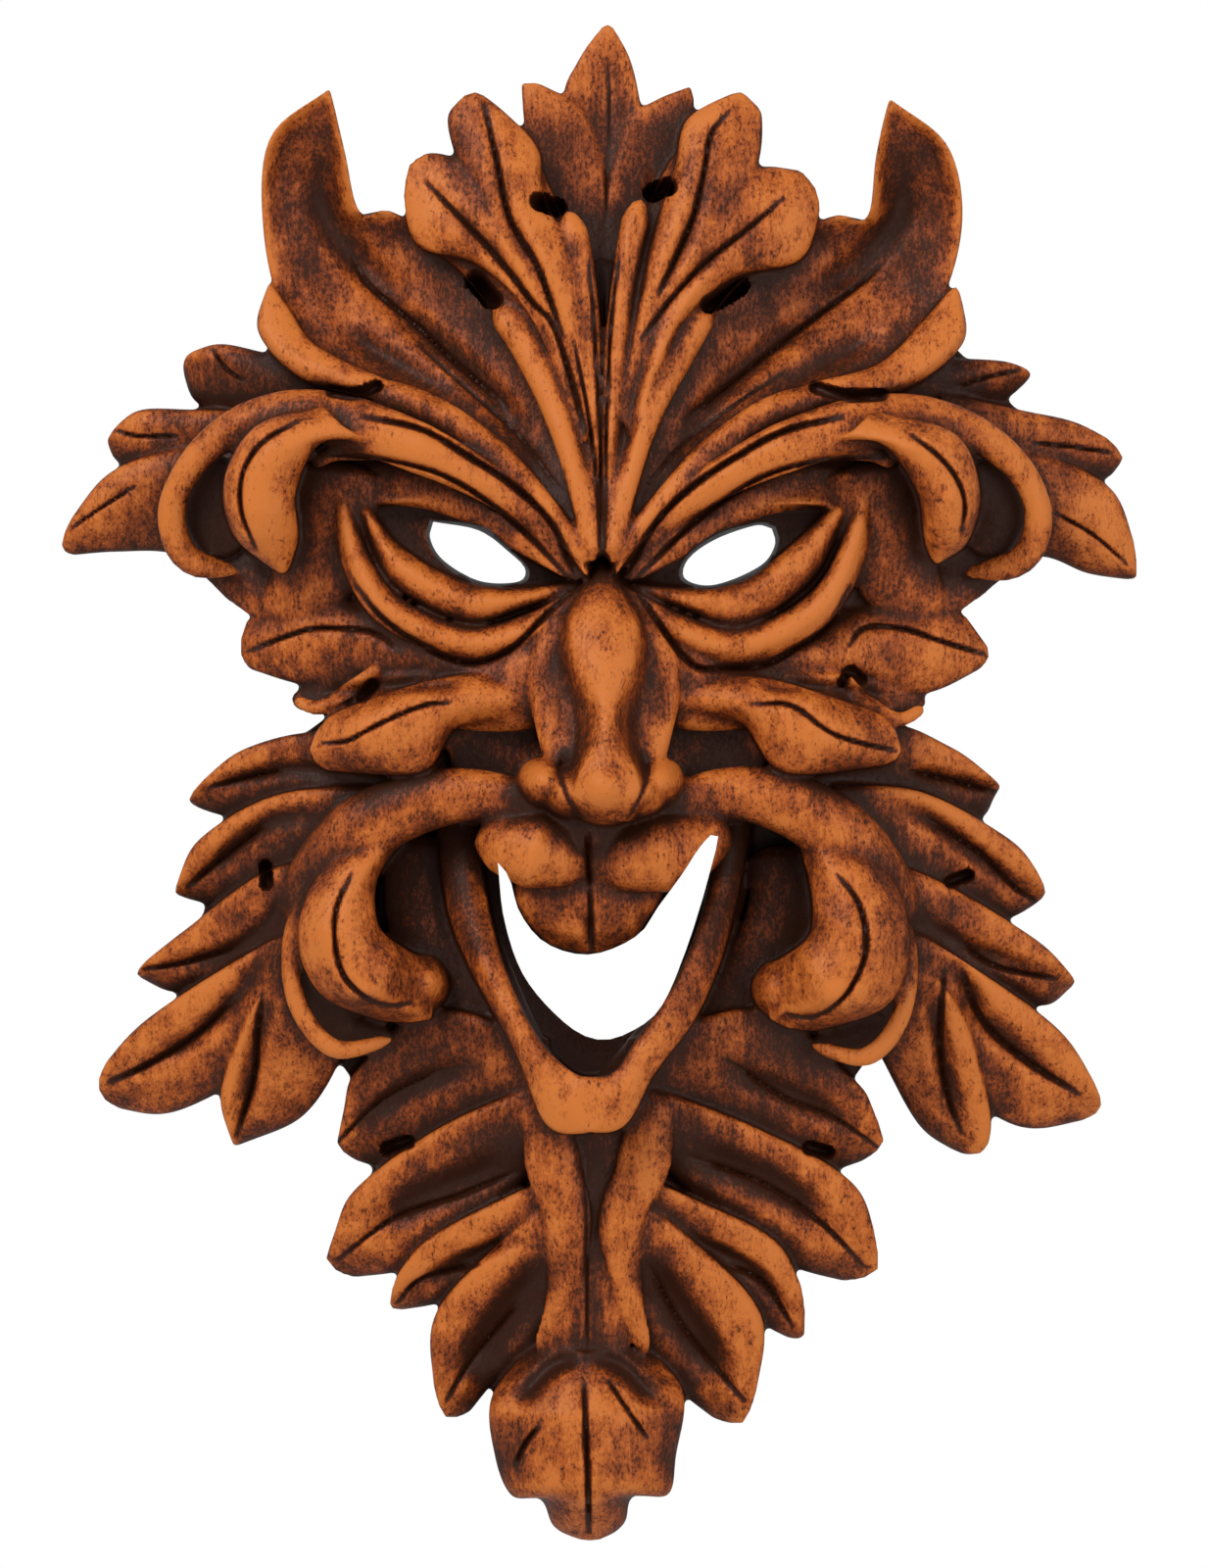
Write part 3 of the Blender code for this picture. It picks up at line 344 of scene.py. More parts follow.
def creases():  # Creases: the floor of the fold between each lower lid and its bag.
    floor = [0.051, 0.0535, 0.0555]
    rollStroke([(370, 545), (406, 596), (475, 628), (540, 614), (590, 596)], [14, 22, 24, 20, 9], floor, 0.3)
    rollStroke([(860, 545), (824, 596), (757, 630), (692, 614), (642, 596)], [14, 22, 24, 20, 9], floor, 0.3)


def nose():  # Nose: a ridge that is wide at the bridge and narrow at the waist, a round tip and two wings.
    ridgeStroke([(574, 0.062, 6, 16), (600, 0.071, 18, 34), (640, 0.080, 34, 58), (680, 0.084, 29, 68),
                 (720, 0.087, 14, 66), (755, 0.091, 15, 60), (790, 0.094, 30, 52), (815, 0.094, 34, 46),
                 (838, 0.086, 20, 34)], 614, 0.03, 0.054)
    lumpStroke(617, 803, 0.0968, 43, 40, 0.026)
    for across in (583, 652):
        lumpStroke(across, 808, 0.090, 32, 28, 0.026)
    lumpStroke(556, 798, 0.084, 29, 27, 0.022)
    lumpStroke(671, 798, 0.084, 28, 27, 0.022)
    side = [0.069, 0.071, 0.074, 0.077]
    rollStroke([(597, 630), (576, 685), (579, 738), (584, 785)], [32, 40, 34, 26], side, 0.6)
    rollStroke([(634, 630), (658, 685), (655, 738), (650, 785)], [32, 40, 34, 26], side, 0.6)


def cheeks():  # Cheeks: the upper leaf below each eye, its curled lobe, and the bright round lower lobe.
    upper = [0.058, 0.054, 0.046, 0.042]
    lower = [0.058, 0.064, 0.068, 0.062]
    rim = [0.050, 0.054, 0.056, 0.058]
    rollStroke([(300, 714), (326, 722), (356, 704), (388, 680)], [6, 8, 8, 6], rim)
    rollStroke([(944, 722), (915, 734), (880, 712), (858, 686)], [6, 8, 8, 6], rim)
    leafStroke([(520, 660), (400, 625), (320, 605), (256, 622)], [(500, 680), (408, 664), (346, 641), (246, 652)],
               [(480, 700), (400, 690), (320, 700), (246, 680)], upper, 0.005, [0.05, 0.022])
    leafStroke([(440, 680), (380, 684), (330, 694), (300, 706)], [(440, 700), (390, 705), (340, 712), (298, 714)],
               [(440, 740), (390, 730), (345, 730), (302, 724)], upper, 0.004, [0.05, 0.022])
    leafStroke([(560, 690), (460, 690), (360, 720), (325, 738)], [(560, 710), (459, 717), (379, 743), (316, 765)],
               [(560, 740), (470, 740), (430, 788), (325, 786)], lower, 0.007, [0.05, 0.035])
    leafStroke([(700, 660), (830, 630), (930, 605), (972, 610)], [(720, 680), (866, 661), (928, 643), (1008, 660)],
               [(740, 700), (860, 690), (940, 708), (1010, 678)], upper, 0.005, [0.05, 0.022])
    leafStroke([(800, 680), (870, 684), (920, 695), (948, 714)], [(800, 700), (860, 705), (900, 718), (940, 724)],
               [(800, 740), (850, 730), (900, 738), (932, 732)], upper, 0.004, [0.05, 0.022])
    leafStroke([(670, 690), (770, 690), (860, 715), (912, 734)], [(670, 710), (770, 719), (858, 752), (920, 766)],
               [(670, 740), (752, 735), (800, 788), (912, 780)], lower, 0.007, [0.05, 0.035])
    plane = [0.070, 0.066, 0.058, 0.042]
    rollStroke([(606, 655), (536, 698), (430, 700), (330, 670)], [48, 46, 36, 26], plane, 0.5)
    rollStroke([(626, 655), (700, 698), (806, 700), (900, 670)], [48, 46, 36, 26], plane, 0.5)
    hollowLeft = [(450, 735), (590, 735), (600, 800), (560, 815), (465, 805)]
    hollowRight = [(646, 735), (790, 735), (775, 805), (690, 815), (640, 800)]
    for outline in (hollowLeft, hollowRight):
        plateStroke(outline, 0.052, 0.01)


def moustache():  # Moustache: bands from the nose wings that curl round the mouth corners into big round lobes.
    front = [0.070, 0.068, 0.067, 0.066, 0.060, 0.050]
    rollStroke([(566, 830), (500, 812), (430, 818), (366, 850), (322, 905), (306, 960)], [18, 25, 32, 36, 34, 26],
               front)
    rollStroke([(664, 830), (732, 810), (800, 818), (862, 856), (902, 910), (920, 965)], [18, 25, 32, 36, 34, 26],
               front)
    lobe = [0.050, 0.060, 0.066, 0.066, 0.054]
    leafStroke([(410, 835), (335, 878), (304, 950), (328, 1015), (400, 1046)],
               [(412, 845), (362, 895), (346, 955), (376, 1008), (440, 1040)],
               [(416, 852), (386, 895), (387, 945), (420, 972), (448, 984)], lobe, 0.009, [0.045, 0.035])
    lumpStroke(426, 1004, 0.061, 33, 31, 0.016)
    lumpStroke(800, 1009, 0.061, 33, 31, 0.016)
    leafStroke([(810, 845), (826, 900), (828, 950), (800, 976), (776, 986)],
               [(815, 840), (866, 900), (882, 960), (850, 1016), (786, 1040)],
               [(820, 832), (900, 882), (928, 955), (906, 1025), (820, 1056)], lobe, 0.009, [0.045, 0.035])
    edge = [0.056, 0.056, 0.058, 0.058, 0.052]
    rollStroke([(318, 905), (298, 960), (304, 1025), (342, 1070), (402, 1060)], [10, 10, 10, 10, 6], edge)
    rollStroke([(900, 905), (926, 965), (920, 1035), (884, 1078), (826, 1066)], [10, 10, 10, 10, 6], edge)
    under = [0.046, 0.044, 0.042]
    rollStroke([(310, 960), (325, 1040), (400, 1066)], [20, 22, 16], under, 0.4)
    rollStroke([(920, 960), (905, 1045), (830, 1072)], [20, 22, 16], under, 0.4)


def sideLeaves():  # Side leaves: five long lobes fanning from each moustache band.
    front = [0.050, 0.044, 0.036, 0.030]
    body = [0.044, 0.018]
    for left, vein, right in (
            ([(420, 770), (330, 747), (250, 764), (200, 802)], [(420, 810), (290, 790), (215, 803), (193, 816)],
             [(400, 850), (300, 850), (226, 832), (196, 822)]),
            ([(380, 800), (280, 812), (205, 855), (180, 900)], [(380, 850), (271, 845), (205, 890), (179, 911)],
             [(350, 920), (270, 920), (216, 922), (184, 915)]),
            ([(350, 870), (270, 890), (190, 948), (143, 985)], [(340, 920), (244, 966), (175, 985), (140, 994)],
             [(330, 990), (250, 990), (184, 1012), (146, 1000)]),
            ([(340, 930), (250, 975), (150, 1040), (101, 1092)], [(340, 970), (239, 1018), (150, 1087), (101, 1112)],
             [(345, 1020), (280, 1080), (180, 1134), (112, 1130)]),
            ([(310, 960), (262, 1020), (226, 1110), (236, 1166)], [(330, 980), (280, 1040), (256, 1110), (240, 1169)],
             [(370, 1000), (350, 1075), (310, 1138), (246, 1168)]),
            ([(800, 770), (900, 738), (970, 762), (1017, 796)], [(800, 810), (920, 786), (980, 797), (1021, 803)],
             [(820, 850), (910, 850), (995, 838), (1017, 810)]),
            ([(850, 800), (940, 808), (1030, 856), (1064, 896)], [(850, 850), (948, 836), (1020, 886), (1067, 911)],
             [(880, 920), (950, 930), (1022, 938), (1062, 920)]),
            ([(880, 870), (960, 900), (1055, 957), (1094, 994)], [(880, 920), (975, 962), (1040, 992), (1097, 1002)],
             [(890, 990), (980, 1000), (1060, 1026), (1092, 1010)]),
            ([(900, 930), (990, 985), (1080, 1050), (1122, 1112)], [(890, 970), (985, 1000), (1060, 1090), (1124, 1128)],
             [(885, 1020), (940, 1080), (1035, 1148), (1115, 1142)]),
            ([(920, 960), (980, 1030), (1010, 1130), (1008, 1176)], [(900, 980), (960, 1050), (978, 1120), (990, 1178)],
             [(860, 1000), (900, 1080), (938, 1148), (978, 1177)])):
        leafStroke(left, vein, right, front, 0.003, body, tilt=0.005)


def mouth():  # Mouth: the lower jaw, a V-shaped frame, and the lips with the carved teeth between them.
    front = [0.040, 0.048, 0.058, 0.067, 0.071, 0.075]
    leafStroke([(445, 840), (456, 925), (478, 985), (527, 1076), (560, 1150), (616, 1156)],
               [(470, 840), (480, 930), (500, 1000), (545, 1080), (576, 1125), (616, 1128)],
               [(488, 840), (500, 930), (520, 1000), (552, 1062), (588, 1096), (616, 1097)],
               front, 0.004, [0.035, 0.06])
    leafStroke([(768, 840), (742, 960), (712, 1035), (668, 1096), (636, 1150), (588, 1156)],
               [(750, 840), (724, 940), (695, 1010), (655, 1080), (630, 1122), (588, 1128)],
               [(736, 840), (714, 940), (684, 1010), (650, 1060), (624, 1096), (588, 1097)],
               front, 0.004, [0.035, 0.06])
    rollStroke([(462, 840), (478, 930), (504, 1010), (545, 1090), (596, 1130), (650, 1090), (706, 1010), (736, 930),
                (762, 850)], [18, 22, 26, 26, 24, 26, 26, 22, 18], [0.030, 0.040, 0.045, 0.045, 0.040, 0.030], 1.0)
    corner = [0.034, 0.037, 0.040, 0.044]
    rollStroke([(430, 850), (428, 930), (458, 1000), (492, 1060)], [34, 36, 32, 22], corner, 0.3)
    rollStroke([(796, 860), (798, 930), (764, 1000), (728, 1060)], [34, 36, 32, 22], corner, 0.3)
    lip = [0.066, 0.074, 0.078, 0.074, 0.066]
    rollStroke([(494, 838), (520, 860), (556, 872), (588, 876), (606, 868)], [20, 34, 38, 30, 18], lip)
    rollStroke([(742, 838), (705, 862), (660, 874), (622, 878), (600, 868)], [20, 34, 40, 32, 18], lip)
    rollStroke([(560, 826), (600, 846), (650, 826)], [22, 26, 22], [0.068, 0.072, 0.068])
    leafStroke([(548, 870), (526, 900), (534, 935), (562, 966)], [(600, 870), (602, 905), (602, 945), (603, 974)],
               [(660, 870), (678, 905), (656, 945), (640, 968)], [0.058, 0.060, 0.056], 0.007, [0.045, 0.03])


def beard():  # Beard: four lobes a side below the jaw, two raised pipes and the sunken stem between them.
    front = [0.046, 0.042, 0.036, 0.032]
    body = [0.044, 0.016]
    for left, vein, right in (
            ([(560, 1060), (440, 1030), (365, 1090), (350, 1135)], [(560, 1090), (450, 1100), (380, 1135), (344, 1166)],
             [(570, 1130), (480, 1170), (400, 1190), (355, 1182)]),
            ([(560, 1100), (450, 1150), (364, 1212), (340, 1260)], [(570, 1130), (470, 1200), (390, 1255), (333, 1284)],
             [(590, 1150), (510, 1230), (430, 1290), (350, 1305)]),
            ([(590, 1190), (520, 1220), (440, 1262), (402, 1304)], [(590, 1210), (520, 1248), (450, 1290), (398, 1330)],
             [(590, 1240), (530, 1280), (460, 1325), (402, 1338)]),
            ([(590, 1200), (520, 1260), (445, 1340), (443, 1425)], [(594, 1240), (535, 1310), (490, 1380), (455, 1446)],
             [(598, 1290), (560, 1370), (510, 1405), (475, 1446)]),
            ([(640, 1060), (780, 1030), (870, 1100), (892, 1130)], [(640, 1090), (760, 1100), (850, 1140), (902, 1164)],
             [(640, 1130), (740, 1170), (830, 1195), (890, 1182)]),
            ([(640, 1100), (770, 1150), (868, 1205), (896, 1265)], [(640, 1130), (750, 1200), (840, 1260), (896, 1295)],
             [(630, 1150), (720, 1230), (800, 1288), (872, 1310)]),
            ([(630, 1190), (710, 1224), (790, 1265), (822, 1320)], [(630, 1210), (710, 1248), (775, 1300), (821, 1362)],
             [(630, 1240), (700, 1285), (770, 1345), (812, 1369)]),
            ([(620, 1200), (700, 1260), (776, 1340), (771, 1430)], [(612, 1240), (680, 1310), (725, 1380), (758, 1452)],
             [(608, 1290), (650, 1380), (700, 1425), (735, 1452)])):
        leafStroke(left, vein, right, front, 0.003, body, tilt=0.005)
    pipe = [0.050, 0.052, 0.052, 0.047, 0.041]
    rollStroke([(554, 1112), (564, 1190), (580, 1245), (572, 1320), (550, 1385)], [22, 28, 24, 14, 9], pipe, 0.4)
    rollStroke([(668, 1112), (656, 1190), (634, 1245), (642, 1320), (660, 1385)], [22, 28, 22, 14, 9], pipe, 0.4)
    rollStroke([(606, 1140), (600, 1280), (598, 1440)], [40, 34, 52], [0.048, 0.046, 0.044], 0.3)
    leafStroke([(545, 1370), (502, 1425), (505, 1485), (522, 1526), (552, 1530), (564, 1556), (584, 1570)],
               [(598, 1380), (598, 1440), (600, 1500), (602, 1572)],
               [(655, 1370), (697, 1420), (690, 1485), (682, 1525), (646, 1527), (638, 1553), (620, 1570)],
               [0.034, 0.046, 0.048, 0.040], 0.013, [0.038, 0.03])


def ground():  # Ground: the flat-backed core that everything grows from, and the raised mass of the face on it.
    outline = [(612, 100), (690, 140), (790, 200), (900, 260), (950, 330), (1040, 420), (1080, 520), (1040, 584),
               (965, 600), (960, 660), (890, 720), (960, 790), (1010, 890), (1040, 990), (1060, 1090), (960, 1120),
               (900, 1060), (850, 1130), (850, 1250), (780, 1310), (740, 1400), (670, 1420), (650, 1500), (600, 1540),
               (540, 1500), (530, 1420), (480, 1400), (470, 1330), (380, 1260), (380, 1130), (330, 1060), (270, 1110),
               (160, 1080), (190, 990), (220, 890), (240, 800), (350, 720), (280, 650), (260, 612), (205, 585),
               (140, 530), (180, 440), (240, 400), (300, 345), (300, 240), (400, 250), (440, 190), (540, 130)]
    plateStroke(outline, carving["groundDepth"], -carving["behind"])
    mass = [(612, 380), (700, 410), (800, 430), (900, 440), (940, 520), (900, 600), (880, 680), (840, 760),
            (800, 830), (612, 860), (430, 830), (390, 760), (350, 680), (320, 600), (290, 520), (330, 440),
            (430, 430), (530, 410)]
    plateStroke(mass, 0.046, 0.01)
    chin = [(420, 1060), (600, 1100), (800, 1060), (810, 1180), (760, 1290), (700, 1380), (600, 1420), (510, 1380),
            (450, 1290), (400, 1180)]
    plateStroke(chin, 0.034, 0.01)



# V cuts of the veins: points on the drawing, half width in squares, depth in metres.
veins = [
    ([(494, 106), (506, 159), (520, 222), (549, 272), (575, 345)], 4.3, 0.0032),
    ([(433, 184), (465, 217), (507, 261), (544, 308), (567, 337), (598, 440)], 4.3, 0.0030),
    ([(743, 116), (726, 136), (718, 178), (707, 222), (689, 264), (672, 300)], 4.3, 0.0032),
    ([(801, 201), (767, 230), (720, 267), (686, 303), (655, 345)], 3.9, 0.0026),
    ([(614, 250), (615, 330), (614, 440), (615, 560)], 3.0, 0.0016),
    ([(620, 60), (621, 110), (620, 170), (617, 240)], 2.6, 0.0012),
    ([(600, 592), (607, 577), (615, 562)], 4.0, 0.0030), ([(630, 592), (623, 577), (615, 562)], 4.0, 0.0030),
    ([(598, 1165), (598, 1240), (599, 1320), (598, 1400)], 3.0, 0.0016),
    ([(575, 768), (572, 790), (580, 815), (592, 834)], 4.0, 0.0014),
    ([(657, 768), (660, 790), (654, 812), (642, 834)], 4.0, 0.0014),
    ([(600, 262), (606, 330), (612, 440), (614, 560)], 3.0, 0.0022),
    ([(632, 262), (624, 330), (619, 440), (617, 560)], 3.0, 0.0022),
    ([(585, 345), (600, 420), (610, 500), (612, 560)], 3.0, 0.0020),
    ([(359, 259), (376, 290), (426, 332), (465, 369), (515, 412)], 4.3, 0.0032),
    ([(899, 269), (877, 290), (814, 337), (757, 382), (700, 428)], 4.3, 0.0032),
    ([(430, 355), (480, 400), (530, 445), (575, 505)], 3.0, 0.0016),
    ([(800, 380), (740, 420), (690, 460), (650, 510)], 3.0, 0.0016),
    ([(217, 357), (231, 376), (250, 389)], 3.0, 0.0022),
    ([(118, 439), (143, 445), (183, 445)], 3.0, 0.0022),
    ([(73, 539), (100, 520), (138, 496)], 3.0, 0.0022),
    ([(1040, 378), (1010, 384), (975, 395)], 3.0, 0.0020),
    ([(1135, 462), (1095, 456), (1055, 452)], 3.0, 0.0022),
    ([(1150, 575), (1115, 545), (1075, 522)], 3.0, 0.0022),
    ([(306, 429), (272, 448), (252, 472), (245, 499), (248, 528), (261, 560)], 3.9, 0.0028),
    ([(930, 444), (960, 467), (978, 491), (985, 515), (981, 544)], 3.9, 0.0028),
    ([(370, 425), (430, 438), (480, 467), (520, 493), (560, 530), (590, 588)], 5.2, 0.0045),
    ([(860, 425), (800, 440), (752, 466), (710, 494), (670, 532), (636, 588)], 5.2, 0.0045),
    ([(330, 462), (400, 470), (455, 486), (505, 517), (545, 552), (580, 590)], 4.3, 0.0035),
    ([(900, 466), (835, 470), (778, 486), (728, 517), (688, 552), (650, 590)], 4.3, 0.0035),
    ([(258, 663), (285, 652), (316, 642), (346, 641), (383, 646), (408, 664)], 3.9, 0.0028),
    ([(866, 661), (878, 643), (898, 639), (928, 643), (957, 653), (1005, 668)], 3.9, 0.0028),
    ([(327, 759), (354, 756), (379, 743), (408, 729), (436, 719), (459, 717)], 3.9, 0.0028),
    ([(770, 719), (799, 718), (819, 726), (839, 742), (858, 752), (886, 760), (915, 766)], 3.9, 0.0028),
    ([(215, 803), (250, 793), (290, 785)], 3.9, 0.0028),
    ([(193, 904), (225, 876), (271, 841)], 4.7, 0.0032),
    ([(146, 989), (189, 982), (244, 966)], 4.3, 0.0030),
    ([(110, 1105), (149, 1087), (198, 1057), (239, 1018)], 5.2, 0.0035),
    ([(241, 1159), (259, 1097), (262, 1051), (268, 1014)], 4.7, 0.0032),
    ([(927, 787), (970, 796), (1017, 809)], 3.9, 0.0028),
    ([(948, 836), (1000, 870), (1034, 904), (1058, 921)], 3.9, 0.0030),
    ([(982, 963), (1016, 986), (1077, 999)], 3.9, 0.0030),
    ([(982, 992), (1003, 1041), (1046, 1081), (1101, 1116)], 5.2, 0.0035),
    ([(964, 989), (960, 1066), (968, 1118), (982, 1158)], 4.3, 0.0030),
    ([(359, 891), (343, 928), (342, 965), (351, 996), (372, 1017), (397, 1026), (421, 1023)], 4.3, 0.0030),
    ([(855, 893), (875, 919), (884, 953), (881, 983), (862, 1017), (832, 1037), (801, 1035)], 4.3, 0.0030),
    ([(600, 848), (600, 880), (602, 905)], 4.3, 0.0040),
    ([(602, 905), (603, 940), (604, 972)], 4.3, 0.0030),
    ([(340, 1170), (390, 1122), (450, 1092)], 3.4, 0.0022),
    ([(345, 1285), (400, 1245), (470, 1220), (530, 1195)], 3.9, 0.0026),
    ([(405, 1330), (430, 1305), (490, 1290)], 3.4, 0.0026),
    ([(455, 1430), (480, 1390), (530, 1330)], 3.9, 0.0026),
    ([(740, 1080), (800, 1120), (850, 1140), (895, 1170)], 3.4, 0.0022),
    ([(700, 1180), (780, 1210), (840, 1250), (880, 1290)], 3.9, 0.0026),
    ([(740, 1290), (780, 1310), (810, 1355)], 3.4, 0.0026),
    ([(660, 1290), (700, 1360), (760, 1430)], 3.9, 0.0026),
    ([(596, 1412), (598, 1460), (600, 1510), (601, 1566)], 4.3, 0.0035),
    ([(550, 1456), (536, 1474), (526, 1496)], 4.3, 0.0030),
    ([(619, 1407), (641, 1440), (661, 1468)], 3.4, 0.0025),
    ([(362, 595), (385, 625), (420, 652), (475, 676), (520, 662), (560, 625), (590, 597)], 4.7, 0.0040),
    ([(646, 595), (669, 631), (706, 678), (744, 682), (782, 678), (812, 661), (845, 638), (868, 597)], 4.7, 0.0040),
]

# Broad gouge hollows, or swellings where the depth is below zero.
hollows = [
    ([(500, 150), (520, 222), (552, 290), (585, 380), (608, 500)], 15, 0.0024),
    ([(455, 208), (507, 261), (550, 325), (588, 420), (606, 520)], 14, 0.0026),
    ([(735, 150), (712, 215), (686, 275), (655, 360), (625, 500)], 15, 0.0024),
    ([(780, 222), (720, 267), (680, 320), (650, 400), (624, 520)], 14, 0.0026),
    ([(376, 290), (440, 345), (500, 400), (560, 480)], 20, 0.0030),
    ([(860, 300), (800, 345), (740, 395), (670, 480)], 20, 0.0030),
    ([(330, 150), (330, 210), (370, 270), (420, 310)], 26, 0.0040),
    ([(920, 150), (918, 215), (870, 275), (815, 310)], 26, 0.0040),
    ([(340, 330), (400, 370), (470, 410)], 20, 0.0030),
    ([(900, 335), (850, 365), (780, 405)], 20, 0.0030),
    ([(215, 803), (290, 785), (360, 790)], 14, 0.0026),
    ([(200, 900), (271, 841), (340, 830)], 16, 0.0028),
    ([(160, 988), (244, 966), (310, 900)], 16, 0.0028),
    ([(130, 1098), (198, 1057), (250, 1005), (290, 930)], 18, 0.0032),
    ([(245, 1150), (262, 1060), (285, 990)], 16, 0.0030),
    ([(927, 787), (1010, 805)], 14, 0.0022),
    ([(900, 820), (948, 836), (1050, 915)], 16, 0.0028),
    ([(930, 930), (982, 963), (1077, 999)], 16, 0.0028),
    ([(940, 960), (982, 992), (1010, 1045), (1095, 1112)], 18, 0.0032),
    ([(950, 985), (960, 1066), (980, 1150)], 16, 0.0030),
    ([(360, 1150), (430, 1105), (500, 1085)], 20, 0.0035),
    ([(370, 1260), (430, 1225), (530, 1180)], 30, 0.0060),
    ([(415, 1322), (470, 1288), (540, 1260)], 14, 0.0035),
    ([(470, 1415), (508, 1355), (560, 1285)], 30, 0.0060),
    ([(880, 1150), (800, 1115), (730, 1085)], 20, 0.0035),
    ([(860, 1262), (790, 1212), (690, 1170)], 30, 0.0060),
    ([(805, 1345), (770, 1298), (700, 1262)], 14, 0.0035),
    ([(745, 1420), (700, 1350), (650, 1280)], 30, 0.0060),
    ([(600, 930), (602, 965)], 10, 0.0020),
    ([(594, 1385), (562, 1398), (526, 1436)], 15, 0.0042),
    ([(604, 1385), (636, 1398), (672, 1436)], 15, 0.0042),
    ([(574, 640), (560, 700), (564, 775)], 22, 0.0018),
    ([(654, 640), (670, 700), (664, 775)], 22, 0.0018),
    ([(480, 700), (400, 700), (300, 712)], 12, 0.0030),
    ([(770, 700), (850, 702), (930, 716)], 12, 0.0030),
]

# Drilled pockets: points on the drawing, half width in squares, depth in metres.
pockets = [
    ([(550, 205), (568, 212)], 10, 0.011), ([(666, 197), (682, 190)], 10, 0.011),
    ([(486, 286), (496, 298), (502, 305)], 11, 0.014), ([(755, 291), (740, 301), (724, 310)], 10, 0.014),
    ([(271, 884), (272, 902)], 7, 0.008), ([(970, 900), (988, 893)], 7, 0.008),
    ([(396, 1172), (416, 1166)], 8, 0.008), ([(826, 1172), (844, 1176)], 8, 0.008),
    ([(338, 399), (362, 402), (384, 394)], 7, 0.006), ([(900, 403), (866, 404), (832, 395)], 7, 0.006),
    ([(370, 712), (380, 698)], 7, 0.005), ([(860, 696), (868, 684), (880, 694)], 6, 0.005),
]

# Strokes that darken the colour, or lighten it where the amount is below zero.
colourStrokes = [
    ([(620, 100), (620, 200), (618, 300)], 60, 0.10),
    ([(478, 130), (520, 215)], 50, 0.12),
    ([(430, 225), (520, 290)], 46, 0.10),
    ([(745, 140), (715, 215)], 50, 0.12),
    ([(800, 235), (710, 290)], 46, 0.10),
    ([(300, 120), (310, 220), (350, 280)], 60, 0.16),
    ([(950, 130), (940, 220), (900, 280)], 60, 0.16),
    ([(330, 350), (420, 400)], 40, 0.12),
    ([(520, 470), (570, 550)], 30, 0.12),
    ([(340, 500), (340, 570), (320, 620)], 30, -0.10),
    ([(896, 500), (896, 570), (915, 620)], 30, -0.08),
    ([(430, 786), (500, 796), (560, 815)], 26, 0.20),
    ([(800, 786), (730, 796), (676, 815)], 26, 0.16),
    ([(350, 490), (440, 492), (520, 530)], 26, -0.16),
    ([(880, 490), (790, 492), (710, 530)], 26, -0.16),
    ([(340, 630), (430, 690), (560, 690)], 34, 0.06),
    ([(870, 640), (790, 686)], 30, 0.04),
    ([(570, 640), (556, 700), (562, 770), (574, 812)], 30, 0.14),
    ([(656, 640), (670, 700), (664, 770), (654, 812)], 28, 0.12),
    ([(540, 770), (545, 815)], 24, 0.16),
    ([(686, 780), (684, 815)], 22, 0.18),
    ([(450, 768), (590, 770)], 44, -0.50),
    ([(790, 770), (645, 770)], 44, -0.46),
    ([(400, 790), (330, 800), (280, 860)], 40, 0.20),
    ([(840, 780), (910, 800), (950, 850)], 40, 0.16),
    ([(280, 880), (250, 960), (270, 1050)], 45, 0.16),
    ([(950, 900), (970, 980), (960, 1060)], 45, 0.12),
    ([(500, 820), (590, 850), (640, 850), (700, 820)], 30, 0.22),
    ([(540, 930), (640, 930)], 50, 0.20),
    ([(480, 900), (520, 1020), (600, 1080), (680, 1020), (730, 900)], 40, 0.22),
    ([(450, 830), (468, 920), (495, 985)], 26, 0.30),
    ([(756, 830), (738, 920), (715, 985)], 26, 0.28),
    ([(430, 792), (352, 842), (300, 930)], 22, 0.20),
    ([(800, 790), (880, 845), (936, 930)], 22, 0.18),
    ([(500, 1080), (400, 1110), (370, 1160)], 50, 0.30),
    ([(740, 1070), (820, 1110), (870, 1160)], 50, 0.30),
    ([(540, 1145), (440, 1200), (400, 1235)], 40, 0.42),
    ([(680, 1145), (770, 1190), (830, 1230)], 40, 0.38),
    ([(570, 1270), (510, 1350), (475, 1410)], 36, 0.42),
    ([(650, 1270), (700, 1340), (735, 1410)], 36, 0.42),
    ([(600, 1150), (600, 1400)], 30, 0.16),
    ([(526, 1430), (560, 1395), (600, 1388), (640, 1395), (672, 1430)], 24, 0.34),
    ([(520, 1440), (516, 1510)], 20, 0.25),
    ([(684, 1430), (682, 1510)], 26, 0.30),
    ([(210, 370), (250, 400)], 40, 0.14),
    ([(1010, 380), (970, 410)], 40, 0.20),
    ([(220, 480), (220, 560)], 30, 0.25),
    ([(1020, 480), (1012, 560)], 30, 0.25),
]


def apply(target, kind, **settings):  # changes a piece by one modifier and applies it
    change = target.modifiers.new(kind.lower(), kind)
    for name, value in settings.items():
        setattr(change, name, value)
    graph = bpy.context.evaluated_depsgraph_get()
    mesh = bpy.data.meshes.new_from_object(target.evaluated_get(graph))
    target.modifiers.clear()
    old = target.data
    target.data = mesh
    bpy.data.meshes.remove(old)


def asPiece(name, bm):
    mesh = bpy.data.meshes.new(name)
    bm.to_mesh(mesh)
    bm.free()
    piece = bpy.data.objects.new(name, mesh)
    bpy.context.scene.collection.objects.link(piece)
    return piece


